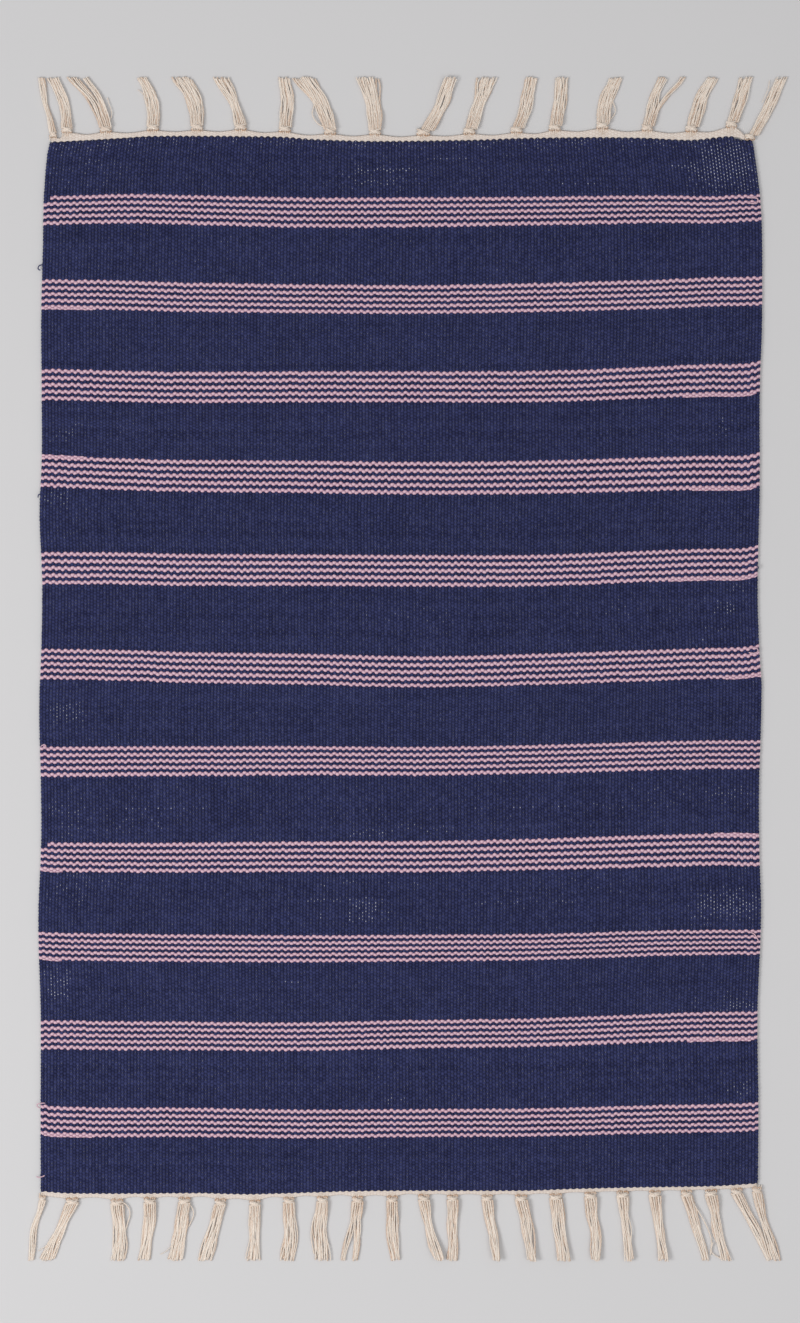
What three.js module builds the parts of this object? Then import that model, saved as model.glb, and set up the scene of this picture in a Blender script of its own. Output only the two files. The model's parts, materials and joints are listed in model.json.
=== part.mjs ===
// A small cotton kilim that lies flat: a woven body, and at each end a cream heading and knotted tassels.
// Millimetres. +X runs across the rug, +Y along it and +Z up. The underside lies on Z = 0.
// The tables give places as seen from above, from the middle of the rug, before it is centred on its box.

import * as THREE from 'three';

// Driving dimensions
const CLOTH_THICK = 3.0;
const CLOTH_ROUND = 1.1; // how far the selvedge's rounding reaches in
const HEADING_THICK = 2.2;
const HEADING_ROUND = 0.6;
const HEADING_DIP = 1.3; // how far the heading draws back between two knots
const HEADING_LEAST = 2.4;
const HEADING_STEP = 1.2; // the least distance between two points of its rim
const PIECE_GAP = 0.3;
const FRINGE_END = 496; // from the middle of the rug to the cut ends, at both ends
const SIDE_STEPS = 44;
const END_STEPS = 40;

const KNOT_DEPTH = 5.0;
const KNOT_HEIGHT = 5.0;
const FULL_KNOT = 7.5; // the width of a full knot, which a smaller one is scaled from
const LOCK_HEIGHT = 1.5;
const LOCK_FILL = 0.78; // a lock's width as a share of the room it has
const LOCK_STATIONS = [0, 0.14, 0.4, 0.7, 1]; // places along a lock where its path and width are taken
const ROOT_SHARE = 0.86; // the locks' roots on the knot's face, as a share of its width and height

// The selvedges: how far each stands out from the middle line at a place along the rug
const LEFT_SIDE = [
  { along: -437.5, out: 300.8 },
  { along: -361.0, out: 300.8 },
  { along: -290.0, out: 300.7 },
  { along: -210.0, out: 302.7 },
  { along: -143.5, out: 300.3 },
  { along: -89.0, out: 300.7 },
  { along: -35.0, out: 302.0 },
  { along: 24.0, out: 300.0 },
  { along: 74.5, out: 299.5 },
  { along: 129.0, out: 301.7 },
  { along: 179.5, out: 299.8 },
  { along: 242.0, out: 300.0 },
  { along: 297.5, out: 300.3 },
  { along: 358.0, out: 298.8 },
  { along: 393.0, out: 298.2 },
  { along: 429.0, out: 295.5 },
  { along: 441.5, out: 293.0 },
];
const RIGHT_SIDE = [
  { along: -431.0, out: 299.6 },
  { along: -361.0, out: 300.0 },
  { along: -290.0, out: 299.2 },
  { along: -206.0, out: 302.2 },
  { along: -151.5, out: 300.8 },
  { along: -101.5, out: 300.5 },
  { along: -17.5, out: 302.7 },
  { along: 16.0, out: 300.8 },
  { along: 66.0, out: 299.3 },
  { along: 158.5, out: 301.2 },
  { along: 225.5, out: 301.0 },
  { along: 292.5, out: 303.0 },
  { along: 364.0, out: 303.0 },
  { along: 397.0, out: 301.2 },
  { along: 427.0, out: 297.5 },
  { along: 443.0, out: 295.0 },
];

// The woven ends: how far each stands out from the middle at a place across the rug
const TOP_END = [
  { across: -293.0, out: 441.5 },
  { across: -238.0, out: 444.6 },
  { across: -211.0, out: 446.2 },
  { across: -105.0, out: 445.6 },
  { across: -76.0, out: 443.6 },
  { across: -22.5, out: 442.0 },
  { across: 70.5, out: 443.2 },
  { across: 101.0, out: 444.4 },
  { across: 167.0, out: 445.2 },
  { across: 210.0, out: 444.6 },
  { across: 248.0, out: 443.0 },
  { across: 275.0, out: 445.6 },
  { across: 283.0, out: 446.0 },
  { across: 288.5, out: 443.5 },
  { across: 295.0, out: 443.0 },
];
const BOTTOM_END = [
  { across: -300.8, out: 437.5 },
  { across: -279.0, out: 439.1 },
  { across: -230.5, out: 439.5 },
  { across: -167.0, out: 439.1 },
  { across: -125.0, out: 440.0 },
  { across: -28.5, out: 437.3 },
  { across: 107.5, out: 437.0 },
  { across: 139.0, out: 435.8 },
  { across: 199.5, out: 434.3 },
  { across: 264.0, out: 433.2 },
  { across: 299.6, out: 431.0 },
];

// The tassels from left to right. x: the knot's place across the rug. out: from the woven end to the knot's
// middle. mid, end: where the bundle lies halfway and at its cut end. wide, fan: how wide it is there.
// knot: the knot's width. locks: locks in the bundle.
const TOP_TASSELS = [
  { x: -290.5, out: 6.6, mid: -296.5, end: -300.5, wide: 5.0, fan: 6.0, knot: 4.6, locks: 5 },
  { x: -279.0, out: 9.6, mid: -282.0, end: -291.0, wide: 9.0, fan: 9.6, knot: 7.0, locks: 7 },
  { x: -246.5, out: 8.4, mid: -255.5, end: -268.0, wide: 11.0, fan: 8.6, knot: 7.5, locks: 8 },
  { x: -207.0, out: 7.6, mid: -207.0, end: -216.0, wide: 11.5, fan: 8.6, knot: 7.5, locks: 7 },
  { x: -170.0, out: 7.8, mid: -172.0, end: -182.5, wide: 12.0, fan: 15.0, knot: 7.5, locks: 8 },
  { x: -133.5, out: 8.4, mid: -139.5, end: -149.5, wide: 8.6, fan: 12.0, knot: 7.5, locks: 7 },
  { x: -96.5, out: 7.4, mid: -94.0, end: -97.5, wide: 11.0, fan: 10.0, knot: 7.5, locks: 7 },
  { x: -58.5, out: 8.0, mid: -66.0, end: -81.0, wide: 13.0, fan: 17.0, knot: 7.5, locks: 8 },
  { x: -21.0, out: 8.4, mid: -22.5, end: -28.0, wide: 12.5, fan: 16.0, knot: 7.5, locks: 8 },
  { x: 19.5, out: 7.6, mid: 35.5, end: 42.0, wide: 12.0, fan: 11.0, knot: 8.5, locks: 7 },
  { x: 58.0, out: 8.0, mid: 66.5, end: 73.0, wide: 11.0, fan: 14.5, knot: 7.5, locks: 7 },
  { x: 97.5, out: 7.6, mid: 106.0, end: 110.0, wide: 10.5, fan: 11.0, knot: 7.5, locks: 7 },
  { x: 129.5, out: 9.0, mid: 134.5, end: 135.0, wide: 11.0, fan: 11.6, knot: 7.5, locks: 7 },
  { x: 169.5, out: 10.4, mid: 173.0, end: 180.5, wide: 11.5, fan: 11.6, knot: 7.5, locks: 7 },
  { x: 207.0, out: 9.0, mid: 213.0, end: 221.0, wide: 11.5, fan: 8.6, knot: 7.0, locks: 7 },
  { x: 244.0, out: 10.0, mid: 250.0, end: 261.0, wide: 12.0, fan: 8.4, knot: 7.5, locks: 7 },
  { x: 277.5, out: 11.0, mid: 282.5, end: 289.5, wide: 9.4, fan: 10.6, knot: 7.0, locks: 7 },
  { x: 293.0, out: 2.9, mid: 308.0, end: 320.5, wide: 11.0, fan: 9.6, knot: 6.4, locks: 7 },
];
const BOTTOM_TASSELS = [
  { x: -299.5, out: 6.6, mid: -306.5, end: -309.0, wide: 5.0, fan: 6.6, knot: 4.2, locks: 5 },
  { x: -274.5, out: 7.0, mid: -285.0, end: -294.5, wide: 9.4, fan: 12.5, knot: 8.0, locks: 7 },
  { x: -237.0, out: 7.6, mid: -234.5, end: -236.0, wide: 9.0, fan: 12.0, knot: 8.0, locks: 7 },
  { x: -209.5, out: 6.6, mid: -210.0, end: -214.5, wide: 9.0, fan: 9.6, knot: 7.5, locks: 7 },
  { x: -180.5, out: 6.6, mid: -184.0, end: -188.5, wide: 11.0, fan: 12.4, knot: 7.5, locks: 7 },
  { x: -150.5, out: 7.6, mid: -157.0, end: -163.0, wide: 9.6, fan: 11.4, knot: 7.0, locks: 7 },
  { x: -121.5, out: 8.0, mid: -122.0, end: -122.5, wide: 8.6, fan: 11.4, knot: 7.0, locks: 7 },
  { x: -93.0, out: 6.4, mid: -92.0, end: -93.5, wide: 9.0, fan: 13.4, knot: 7.0, locks: 7 },
  { x: -65.0, out: 6.6, mid: -66.5, end: -65.0, wide: 11.4, fan: 12.0, knot: 7.0, locks: 8 },
  { x: -35.5, out: 7.4, mid: -37.5, end: -36.5, wide: 10.0, fan: 7.4, knot: 7.0, locks: 7 },
  { x: -6.5, out: 7.4, mid: -6.5, end: -3.5, wide: 9.6, fan: 7.4, knot: 7.0, locks: 7 },
  { x: 20.0, out: 6.4, mid: 24.5, end: 33.0, wide: 9.0, fan: 8.6, knot: 7.0, locks: 7 },
  { x: 44.0, out: 6.4, mid: 44.5, end: 44.0, wide: 8.4, fan: 8.4, knot: 7.0, locks: 7 },
  { x: 73.0, out: 6.4, mid: 76.0, end: 80.5, wide: 9.0, fan: 6.6, knot: 7.0, locks: 7 },
  { x: 101.5, out: 6.4, mid: 106.5, end: 110.5, wide: 9.4, fan: 7.4, knot: 7.5, locks: 7 },
  { x: 130.5, out: 6.4, mid: 134.0, end: 137.5, wide: 11.0, fan: 9.6, knot: 8.0, locks: 7 },
  { x: 159.5, out: 6.0, mid: 163.0, end: 164.5, wide: 10.4, fan: 7.6, knot: 7.5, locks: 7 },
  { x: 186.5, out: 5.9, mid: 190.0, end: 192.5, wide: 8.4, fan: 6.4, knot: 7.5, locks: 7 },
  { x: 213.5, out: 5.9, mid: 218.0, end: 221.0, wide: 7.4, fan: 9.0, knot: 7.5, locks: 7 },
  { x: 240.0, out: 6.0, mid: 251.5, end: 256.0, wide: 8.0, fan: 6.4, knot: 7.0, locks: 7 },
  { x: 260.5, out: 6.0, mid: 267.0, end: 272.5, wide: 8.6, fan: 9.2, knot: 7.5, locks: 7 },
  { x: 282.0, out: 5.9, mid: 299.0, end: 307.5, wide: 7.4, fan: 5.0, knot: 7.0, locks: 6 },
  { x: 299.0, out: 6.0, mid: 308.5, end: 316.0, wide: 7.0, fan: 7.6, knot: 6.0, locks: 6 },
];

// Locks that part from their bundle and end elsewhere, counted from its left side if negative
const STRAYS = {
  tassel_top_03: { locks: -2, end: -277.5 },
  tassel_top_15: { locks: 2, end: 237.0 },
  tassel_bottom_10: { locks: -3, end: -47.5 },
};

// The two finished ends. side: 1 towards +Y, -1 towards -Y. from, to: where the heading starts and stops
// across the rug. fromWidth, toWidth: its width there.
const FRINGES = [
  {
    name: 'top',
    side: 1,
    end: TOP_END,
    tassels: TOP_TASSELS,
    from: -292.4,
    fromWidth: 3.2,
    to: 289.2,
    toWidth: 3.4,
  },
  {
    name: 'bottom',
    side: -1,
    end: BOTTOM_END,
    tassels: BOTTOM_TASSELS,
    from: -300.2,
    fromWidth: 3.2,
    to: 299.2,
    toWidth: 2.7,
  },
];

// How much shorter than the longest each lock is cut, taken in turn
const TRIMS = [0.0, 1.6, 0.6, 2.4, 1.0, 0.2, 1.9];

// A knot's sections from the heading outwards: place along its depth, width and height, as shares of each
const KNOT_SECTIONS = [
  { at: -0.5, wide: 0.62, high: 0.56 },
  { at: -0.26, wide: 1.0, high: 0.94 },
  { at: 0.08, wide: 0.98, high: 1.0 },
  { at: 0.5, wide: 0.7, high: 0.6 },
];
const KNOT_ARCH_POINTS = 5;

const COLOURS = { navy: 0x2a2c52, cream: 0xe2d6c6, yarn: 0xdcccba };

// The value of one column at a place between the rows of a table, on a smooth curve through them
function smooth(rows, place, value, at) {
  const last = rows.length - 1;
  let i = 0;
  while (i < last - 1 && rows[i + 1][place] < at) {
    i += 1;
  }
  const slope = (k) => {
    const before = rows[Math.max(k - 1, 0)];
    const after = rows[Math.min(k + 1, last)];
    return (after[value] - before[value]) / (after[place] - before[place]);
  };
  const from = rows[i];
  const to = rows[i + 1];
  const run = to[place] - from[place];
  const t = THREE.MathUtils.clamp((at - from[place]) / run, 0, 1);
  const keep = (1 + 2 * t) * (1 - t) ** 2;
  const leave = t * (1 - t) ** 2 * run * slope(i);
  const reach = t ** 2 * (t - 1) * run * slope(i + 1);
  return keep * from[value] + (1 - keep) * to[value] + leave + reach;
}

// Where a woven end's corner points lie across the rug
function endPlace(end, i) {
  return THREE.MathUtils.lerp(end[0].across, end.at(-1).across, i / END_STEPS);
}

// How far a woven end stands out at a place across the rug, on the straight runs between its corner points
function wovenEdge(end, x) {
  let i = 0;
  while (i < END_STEPS - 1 && endPlace(end, i + 1) < x) {
    i += 1;
  }
  const from = endPlace(end, i);
  const to = endPlace(end, i + 1);
  const outs = [from, to].map((place) => smooth(end, 'across', 'out', place));
  return THREE.MathUtils.lerp(outs[0], outs[1], (x - from) / (to - from));
}

// A flat outline as a closed solid with rounded rims, lying on Z = 0
function flatPiece(outline, thick, round, rimSteps) {
  const geometry = new THREE.ExtrudeGeometry(new THREE.Shape(outline), {
    depth: thick - 2 * round,
    steps: 1,
    bevelEnabled: true,
    bevelThickness: round,
    bevelSize: round,
    bevelOffset: -round,
    bevelSegments: rimSteps,
  });
  return geometry.translate(0, 0, round);
}

function namedMesh(name, geometry, colour, roughness) {
  const material = new THREE.MeshStandardMaterial({ color: colour, roughness, metalness: 0 });
  const mesh = new THREE.Mesh(geometry, material);
  mesh.name = name;
  return mesh;
}

// The body's outline, anticlockwise from its bottom left corner
function bodyOutline() {
  const points = [];
  for (let i = 0; i < END_STEPS; i += 1) {
    const x = endPlace(BOTTOM_END, i);
    points.push(new THREE.Vector2(x, -wovenEdge(BOTTOM_END, x)));
  }
  for (let i = 0; i < SIDE_STEPS; i += 1) {
    const y = THREE.MathUtils.lerp(RIGHT_SIDE[0].along, RIGHT_SIDE.at(-1).along, i / SIDE_STEPS);
    points.push(new THREE.Vector2(smooth(RIGHT_SIDE, 'along', 'out', y), y));
  }
  for (let i = END_STEPS; i > 0; i -= 1) {
    const x = endPlace(TOP_END, i);
    points.push(new THREE.Vector2(x, wovenEdge(TOP_END, x)));
  }
  for (let i = 0; i < SIDE_STEPS; i += 1) {
    const y = THREE.MathUtils.lerp(LEFT_SIDE.at(-1).along, LEFT_SIDE[0].along, i / SIDE_STEPS);
    points.push(new THREE.Vector2(-smooth(LEFT_SIDE, 'along', 'out', y), y));
  }
  return points;
}

// The heading's width at its ends, at each knot, and halfway between two knots, where it draws back
function headingWidths(heading) {
  const rows = heading.tassels
    .map((tassel) => ({ across: tassel.x, width: tassel.out - KNOT_DEPTH / 2 - PIECE_GAP }))
    .filter((row) => row.across > heading.from + HEADING_STEP && row.across < heading.to - HEADING_STEP);
  const between = rows.slice(1).map((row, i) => ({
    across: (row.across + rows[i].across) / 2,
    width: Math.max(Math.min(row.width, rows[i].width) - HEADING_DIP, HEADING_LEAST),
  }));
  const ends = [
    { across: heading.from, width: heading.fromWidth },
    { across: heading.to, width: heading.toWidth },
  ];
  return [...rows, ...between, ...ends].sort((a, b) => a.across - b.across);
}

// A heading's outline: its inner rim follows the woven end's corner points, and its outer rim has points at
// every row of its widths and halfway between them
function headingOutline(heading) {
  const widths = headingWidths(heading);
  const rim = (x, width) => {
    const out = wovenEdge(heading.end, x) + PIECE_GAP + width;
    return new THREE.Vector2(x, heading.side * out);
  };
  const inner = [rim(heading.from, 0)];
  for (let i = 0; i <= END_STEPS; i += 1) {
    const x = endPlace(heading.end, i);
    if (x > heading.from + HEADING_STEP && x < heading.to - HEADING_STEP) {
      inner.push(rim(x, 0));
    }
  }
  inner.push(rim(heading.to, 0));
  const outer = [];
  for (let i = 0; i <= 2 * (widths.length - 1); i += 1) {
    const row = widths[Math.floor(i / 2)];
    const next = widths[Math.ceil(i / 2)];
    const x = (row.across + next.across) / 2;
    if (i % 2 === 0 || next.across - row.across > 2 * HEADING_STEP) {
      outer.push(rim(x, smooth(widths, 'across', 'width', x)));
    }
  }
  return heading.side > 0 ? [...inner, ...outer.reverse()] : [...outer, ...inner.reverse()];
}

// A section that stands on the floor: an arch from its left foot over to its right foot
function arch(middle, left, halfWide, high, points) {
  const ring = [];
  for (let i = 0; i < points; i += 1) {
    const angle = (Math.PI * i) / (points - 1);
    const p = middle.clone().addScaledVector(left, halfWide * Math.cos(angle));
    p.z = high * Math.sin(angle);
    ring.push(p);
  }
  return ring;
}

// The arches of a knot, from its heading out to the face that its locks leave
function knotRings(tassel, centre, side) {
  const left = new THREE.Vector3(-side, 0, 0);
  return KNOT_SECTIONS.map((section) => {
    const middle = centre.clone();
    middle.y += side * section.at * KNOT_DEPTH;
    const high = knotHeight(tassel) * section.high;
    return arch(middle, left, (tassel.knot / 2) * section.wide, high, KNOT_ARCH_POINTS);
  });
}

function knotHeight(tassel) {
  return KNOT_HEIGHT * Math.sqrt(Math.min(tassel.knot / FULL_KNOT, 1));
}

// The sections of one lock: a low ridge from the knot's face, level on the floor to its cut end.
// across is the lock's place in the bundle, from 1 at its left to -1 at its right, seen along the bundle.
function lockRings(tassel, centre, side, across, tip) {
  const face = KNOT_SECTIONS.at(-1);
  const root = centre.clone();
  root.y += side * face.at * KNOT_DEPTH;
  const rootHalf = (tassel.knot / 2) * face.wide * ROOT_SHARE;
  const lower = Math.sqrt(1 - (across * ROOT_SHARE) ** 2);
  const rootHigh = knotHeight(tassel) * face.high * ROOT_SHARE * lower;
  const half = new THREE.Vector3(tassel.mid, (root.y + side * FRINGE_END) / 2, 0);
  const path = new THREE.CatmullRomCurve3([root, half, tip]);
  const left = new THREE.Vector3(-side, 0, 0);
  return LOCK_STATIONS.map((t) => {
    const middle = path.getPoint(t);
    const opening = THREE.MathUtils.smoothstep(t, 0, 0.5);
    const closing = THREE.MathUtils.smoothstep(t, 0.4, 1);
    const wide = THREE.MathUtils.lerp(rootHalf, tassel.wide / 2, opening);
    const bundle = THREE.MathUtils.lerp(wide, tassel.fan / 2, closing);
    const halfWide = (bundle / (tassel.locks - 1 + LOCK_FILL)) * LOCK_FILL;
    middle.addScaledVector(left, across * (bundle - halfWide));
    return arch(middle, left, halfWide, THREE.MathUtils.lerp(rootHigh, LOCK_HEIGHT, opening), 3);
  });
}

// Every lock of a tassel, from the left of the bundle to its right, seen along it
function tasselLocks(tassel, name, centre, side) {
  const locks = [];
  const stray = STRAYS[name] ?? { locks: 0, end: tassel.end };
  for (let i = 0; i < tassel.locks; i += 1) {
    const fromWest = side > 0 ? i : tassel.locks - 1 - i;
    const parts = stray.locks < 0 ? fromWest < -stray.locks : fromWest >= tassel.locks - stray.locks;
    const trim = TRIMS[(i + Math.round(Math.abs(tassel.x))) % TRIMS.length];
    const tip = new THREE.Vector3(parts ? stray.end : tassel.end, side * (FRINGE_END - trim), 0);
    locks.push(lockRings(tassel, centre, side, 1 - (2 * i) / (tassel.locks - 1), tip));
  }
  return locks;
}

// A knot with its locks as one closed solid: the locks' roots are let into the knot's face and its flat foot
function tasselGeometry(tassel, name, fringe) {
  const { side } = fringe;
  const points = [];
  const faces = [];
  const place = (rings) => rings.map((ring) => ring.map((p) => points.push(p) - 1));
  const wall = (from, to, sides) => {
    for (let s = 0; s < sides; s += 1) {
      const next = (s + 1) % from.length;
      faces.push([from[s], from[next], to[next]], [from[s], to[next], to[s]]);
    }
  };
  const rise = wovenEdge(fringe.end, tassel.x) + tassel.out;
  const centre = new THREE.Vector3(tassel.x, side * rise, 0);
  const knot = place(knotRings(tassel, centre, side));
  const locks = tasselLocks(tassel, name, centre, side).map(place);
  const [front, behind] = [knot.at(-1), knot.at(-2)];

  for (let i = 1; i < knot.length; i += 1) {
    wall(knot[i - 1], knot[i], knot[i] === front ? KNOT_ARCH_POINTS - 1 : KNOT_ARCH_POINTS);
  }
  for (let s = 1; s + 1 < KNOT_ARCH_POINTS; s += 1) {
    faces.push([knot[0][0], knot[0][s + 1], knot[0][s]]);
  }
  for (const lock of locks) {
    for (let i = 1; i < lock.length; i += 1) {
      wall(lock[i - 1], lock[i], 3);
    }
    faces.push(lock.at(-1));
  }
  const feet = locks.flatMap((lock) => [lock[0][0], lock[0][2]]);
  const footLine = [behind[0], front[0], ...feet, front.at(-1)];
  for (let i = 1; i < footLine.length; i += 1) {
    faces.push([behind.at(-1), footLine[i - 1], footLine[i]]);
  }
  const roots = locks.map((lock) => [...lock[0]].reverse()).reverse().flat();
  const rim = [...front, ...roots];
  const flat = rim.map((i) => new THREE.Vector2(-side * points[i].x, points[i].z));
  for (const face of THREE.ShapeUtils.triangulateShape(flat, [])) {
    faces.push(face.map((i) => rim[i]));
  }
  const geometry = new THREE.BufferGeometry().setFromPoints(points);
  return geometry.setIndex(faces.flat());
}

const rug = new THREE.Group();

const body = flatPiece(bodyOutline(), CLOTH_THICK, CLOTH_ROUND, 2);
rug.add(namedMesh('rug_body', body, COLOURS.navy, 0.95));

for (const fringe of FRINGES) {
  const heading = flatPiece(headingOutline(fringe), HEADING_THICK, HEADING_ROUND, 1);
  rug.add(namedMesh(`heading_${fringe.name}`, heading, COLOURS.cream, 0.9));
  fringe.tassels.forEach((tassel, i) => {
    const name = `tassel_${fringe.name}_${String(i + 1).padStart(2, '0')}`;
    rug.add(namedMesh(name, tasselGeometry(tassel, name, fringe), COLOURS.yarn, 0.9));
  });
}

// The origin is the middle of the box that holds the whole rug, on the floor
const box = new THREE.Box3().setFromObject(rug);
const middle = box.getCenter(new THREE.Vector3());
rug.position.set(-middle.x, -middle.y, 0);

export default rug;
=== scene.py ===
"""A small cotton kilim laid flat: navy cloth with pink lines, cream headings and knotted tassels."""
import json
import math
from collections import namedtuple

import bpy
import numpy as np
from bpy.props import FloatProperty, FloatVectorProperty, IntProperty, PointerProperty
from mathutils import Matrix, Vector

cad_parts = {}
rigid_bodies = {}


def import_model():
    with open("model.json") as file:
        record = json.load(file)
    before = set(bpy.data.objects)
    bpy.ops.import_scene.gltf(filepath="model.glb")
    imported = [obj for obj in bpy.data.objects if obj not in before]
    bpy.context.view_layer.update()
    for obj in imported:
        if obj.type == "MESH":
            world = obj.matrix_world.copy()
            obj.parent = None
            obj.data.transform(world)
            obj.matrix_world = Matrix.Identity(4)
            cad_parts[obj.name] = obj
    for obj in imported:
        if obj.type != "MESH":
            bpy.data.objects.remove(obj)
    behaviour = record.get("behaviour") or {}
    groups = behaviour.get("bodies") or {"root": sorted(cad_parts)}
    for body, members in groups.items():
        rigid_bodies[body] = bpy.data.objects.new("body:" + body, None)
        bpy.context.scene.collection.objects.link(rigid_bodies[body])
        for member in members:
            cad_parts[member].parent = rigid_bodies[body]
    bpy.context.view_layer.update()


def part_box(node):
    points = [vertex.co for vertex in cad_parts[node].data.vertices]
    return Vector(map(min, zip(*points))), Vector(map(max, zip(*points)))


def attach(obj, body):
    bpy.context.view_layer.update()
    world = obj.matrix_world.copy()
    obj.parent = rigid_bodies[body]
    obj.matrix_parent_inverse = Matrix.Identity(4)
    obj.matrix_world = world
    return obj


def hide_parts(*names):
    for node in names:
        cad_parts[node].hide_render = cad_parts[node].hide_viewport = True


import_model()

bl_info = {
    "name": "Small Kilim",
    "version": (1, 0, 0),
    "blender": (4, 5, 0),
    "location": "View3D > Sidebar > Kilim",
    "description": "Builds a small kilim with its weave, headings, knots and tassels",
    "category": "Add Mesh",
}

MM = 0.001

# How far each selvedge stands out from the middle line. Columns: along, out, in millimetres.
LEFT_SIDE = [
    (-437.5, 300.8), (-361.0, 300.8), (-290.0, 300.7), (-210.0, 302.7), (-143.5, 300.3), (-89.0, 300.7),
    (-35.0, 302.0), (24.0, 300.0), (74.5, 299.5), (129.0, 301.7), (179.5, 299.8), (242.0, 300.0),
    (297.5, 300.3), (358.0, 298.8), (393.0, 298.2), (429.0, 295.5), (441.5, 293.0),
]
RIGHT_SIDE = [
    (-431.0, 299.6), (-361.0, 300.0), (-290.0, 299.2), (-206.0, 302.2), (-151.5, 300.8), (-101.5, 300.5),
    (-17.5, 302.7), (16.0, 300.8), (66.0, 299.3), (158.5, 301.2), (225.5, 301.0), (292.5, 303.0),
    (364.0, 303.0), (397.0, 301.2), (427.0, 297.5), (443.0, 295.0),
]

# How far each woven end stands out from the middle. Columns: across, out, in millimetres.
TOP_END = [
    (-293.0, 441.5), (-238.0, 444.6), (-211.0, 446.2), (-105.0, 445.6), (-76.0, 443.6), (-22.5, 442.0),
    (70.5, 443.2), (101.0, 444.4), (167.0, 445.2), (210.0, 444.6), (248.0, 443.0), (275.0, 445.6),
    (283.0, 446.0), (288.5, 443.5), (295.0, 443.0),
]
BOTTOM_END = [
    (-300.8, 437.5), (-279.0, 439.1), (-230.5, 439.5), (-167.0, 439.1), (-125.0, 440.0), (-28.5, 437.3),
    (107.5, 437.0), (139.0, 435.8), (199.5, 434.3), (264.0, 433.2), (299.6, 431.0),
]

# The stripe groups from top to bottom. Columns: pitch of a pink and a navy line at the left, in the middle
# and at the right, then the group's middle line at each of STRIPE_PLACES, all in millimetres.
STRIPE_PLACES = (-300.5, -291.6, -226.3, -184.4, -83.8, 16.8, 117.3, 217.9, 259.8, 287.0, 301.5)
STRIPE_GROUPS = [
    (5.2, 5.42, 4.7, 384.6, 384.8, 386.2, 385.3, 383.0, 383.3, 384.4, 385.8, 385.3, 386.6, 387.0),
    (5.32, 5.15, 5.3, 314.4, 314.6, 313.3, 312.0, 310.6, 310.0, 311.7, 314.5, 316.4, 316.8, 317.4),
    (5.75, 5.62, 5.9, 238.5, 238.7, 237.1, 236.3, 236.9, 236.9, 237.2, 240.9, 242.6, 242.9, 245.6),
    (5.73, 6.0, 6.35, 166.8, 166.3, 163.7, 162.7, 161.7, 160.5, 161.5, 164.2, 165.1, 165.3, 168.0),
    (5.93, 5.75, 5.68, 85.0, 85.1, 84.8, 83.8, 83.5, 83.0, 83.3, 87.1, 88.6, 88.9, 91.6),
    (5.55, 5.75, 5.68, 4.9, 4.9, 3.7, 2.1, 0.5, -1.8, 0.5, 3.9, 5.4, 6.1, 8.4),
    (5.5, 5.2, 5.12, -76.2, -76.9, -76.5, -76.3, -75.9, -76.3, -74.6, -71.8, -70.9, -70.9, -71.0),
    (5.22, 5.6, 5.9, -155.4, -156.7, -157.3, -157.3, -156.5, -156.4, -154.4, -151.5, -150.5, -150.8, -151.2),
    (4.97, 4.8, 4.42, -230.4, -231.4, -232.6, -233.0, -233.6, -233.0, -232.0, -228.9, -228.3, -228.1, -228.3),
    (5.2, 5.05, 5.12, -305.8, -305.6, -306.4, -306.4, -307.1, -304.9, -303.5, -299.7, -298.3, -298.1, -297.6),
    (
        5.45, 5.05, 5.08, -376.0, -377.8, -379.0, -378.8, -380.3, -379.6, -379.0, -376.3, -375.7, -374.9,
        -374.0,
    ),
]
MIDDLE_COLUMN = 7
WARPS = 224
PICK = 1.36
LINE_PICKS = 2
GROUP_PICKS = 18
CLOTH_WIDTH = 600.0

# Where a line is missing for a stretch. Columns: group, counted from the top; its first pick there, counted
# from the group's lowest; picks; from and to across the rug in millimetres.
MISSING_LINES = [(1, 16, 2, -304.0, -294.5), (8, 16, 2, -304.0, -296.0)]

# Where a line is doubled for a stretch. Columns: group; the thick line's lower and upper edge in picks from
# the group's lowest; from and to across the rug in millimetres.
DOUBLED_LINES = [
    (2, -1.2, 1.2, -299.0, -258.0), (3, -1.2, 1.2, 236.0, 298.0), (4, 15.8, 18.2, -302.0, -268.0),
    (4, -1.2, 1.2, 244.0, 297.0), (5, -1.2, 1.2, 222.0, 299.0), (6, -1.2, 1.2, 272.0, 301.0),
    (7, 15.8, 18.2, -301.0, -297.0), (8, 15.8, 18.2, 262.0, 300.0), (8, -1.2, 1.2, -302.0, -283.0),
    (9, -1.2, 1.2, -302.0, -284.0), (10, -1.2, 1.2, 240.0, 293.0), (11, -1.2, 1.2, -300.0, -258.0),
]

# Thin places where the cream warp shows between the wefts. Columns: middle across and along, half width and
# half length in millimetres, strength.
THIN_PLACES = [
    (274.0, 423.0, 24.0, 18.0, 1.0), (-21.0, 411.0, 26.0, 8.0, 0.3), (-268.0, 424.0, 30.0, 20.0, 0.2),
    (289.0, -156.0, 9.0, 6.0, 0.8), (275.0, -198.0, 24.0, 9.0, 0.9), (285.0, -282.0, 14.0, 6.0, 0.8),
    (272.0, 204.0, 5.0, 4.0, 0.7), (-278.0, 198.0, 11.0, 7.0, 0.4), (-288.0, 147.0, 8.0, 4.0, 0.9),
    (-278.0, -36.0, 12.0, 7.0, 0.7), (-278.0, -125.0, 12.0, 17.0, 0.25), (-276.0, -180.0, 17.0, 11.0, 0.35),
    (-287.0, -265.0, 8.0, 10.0, 0.8),
]

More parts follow.
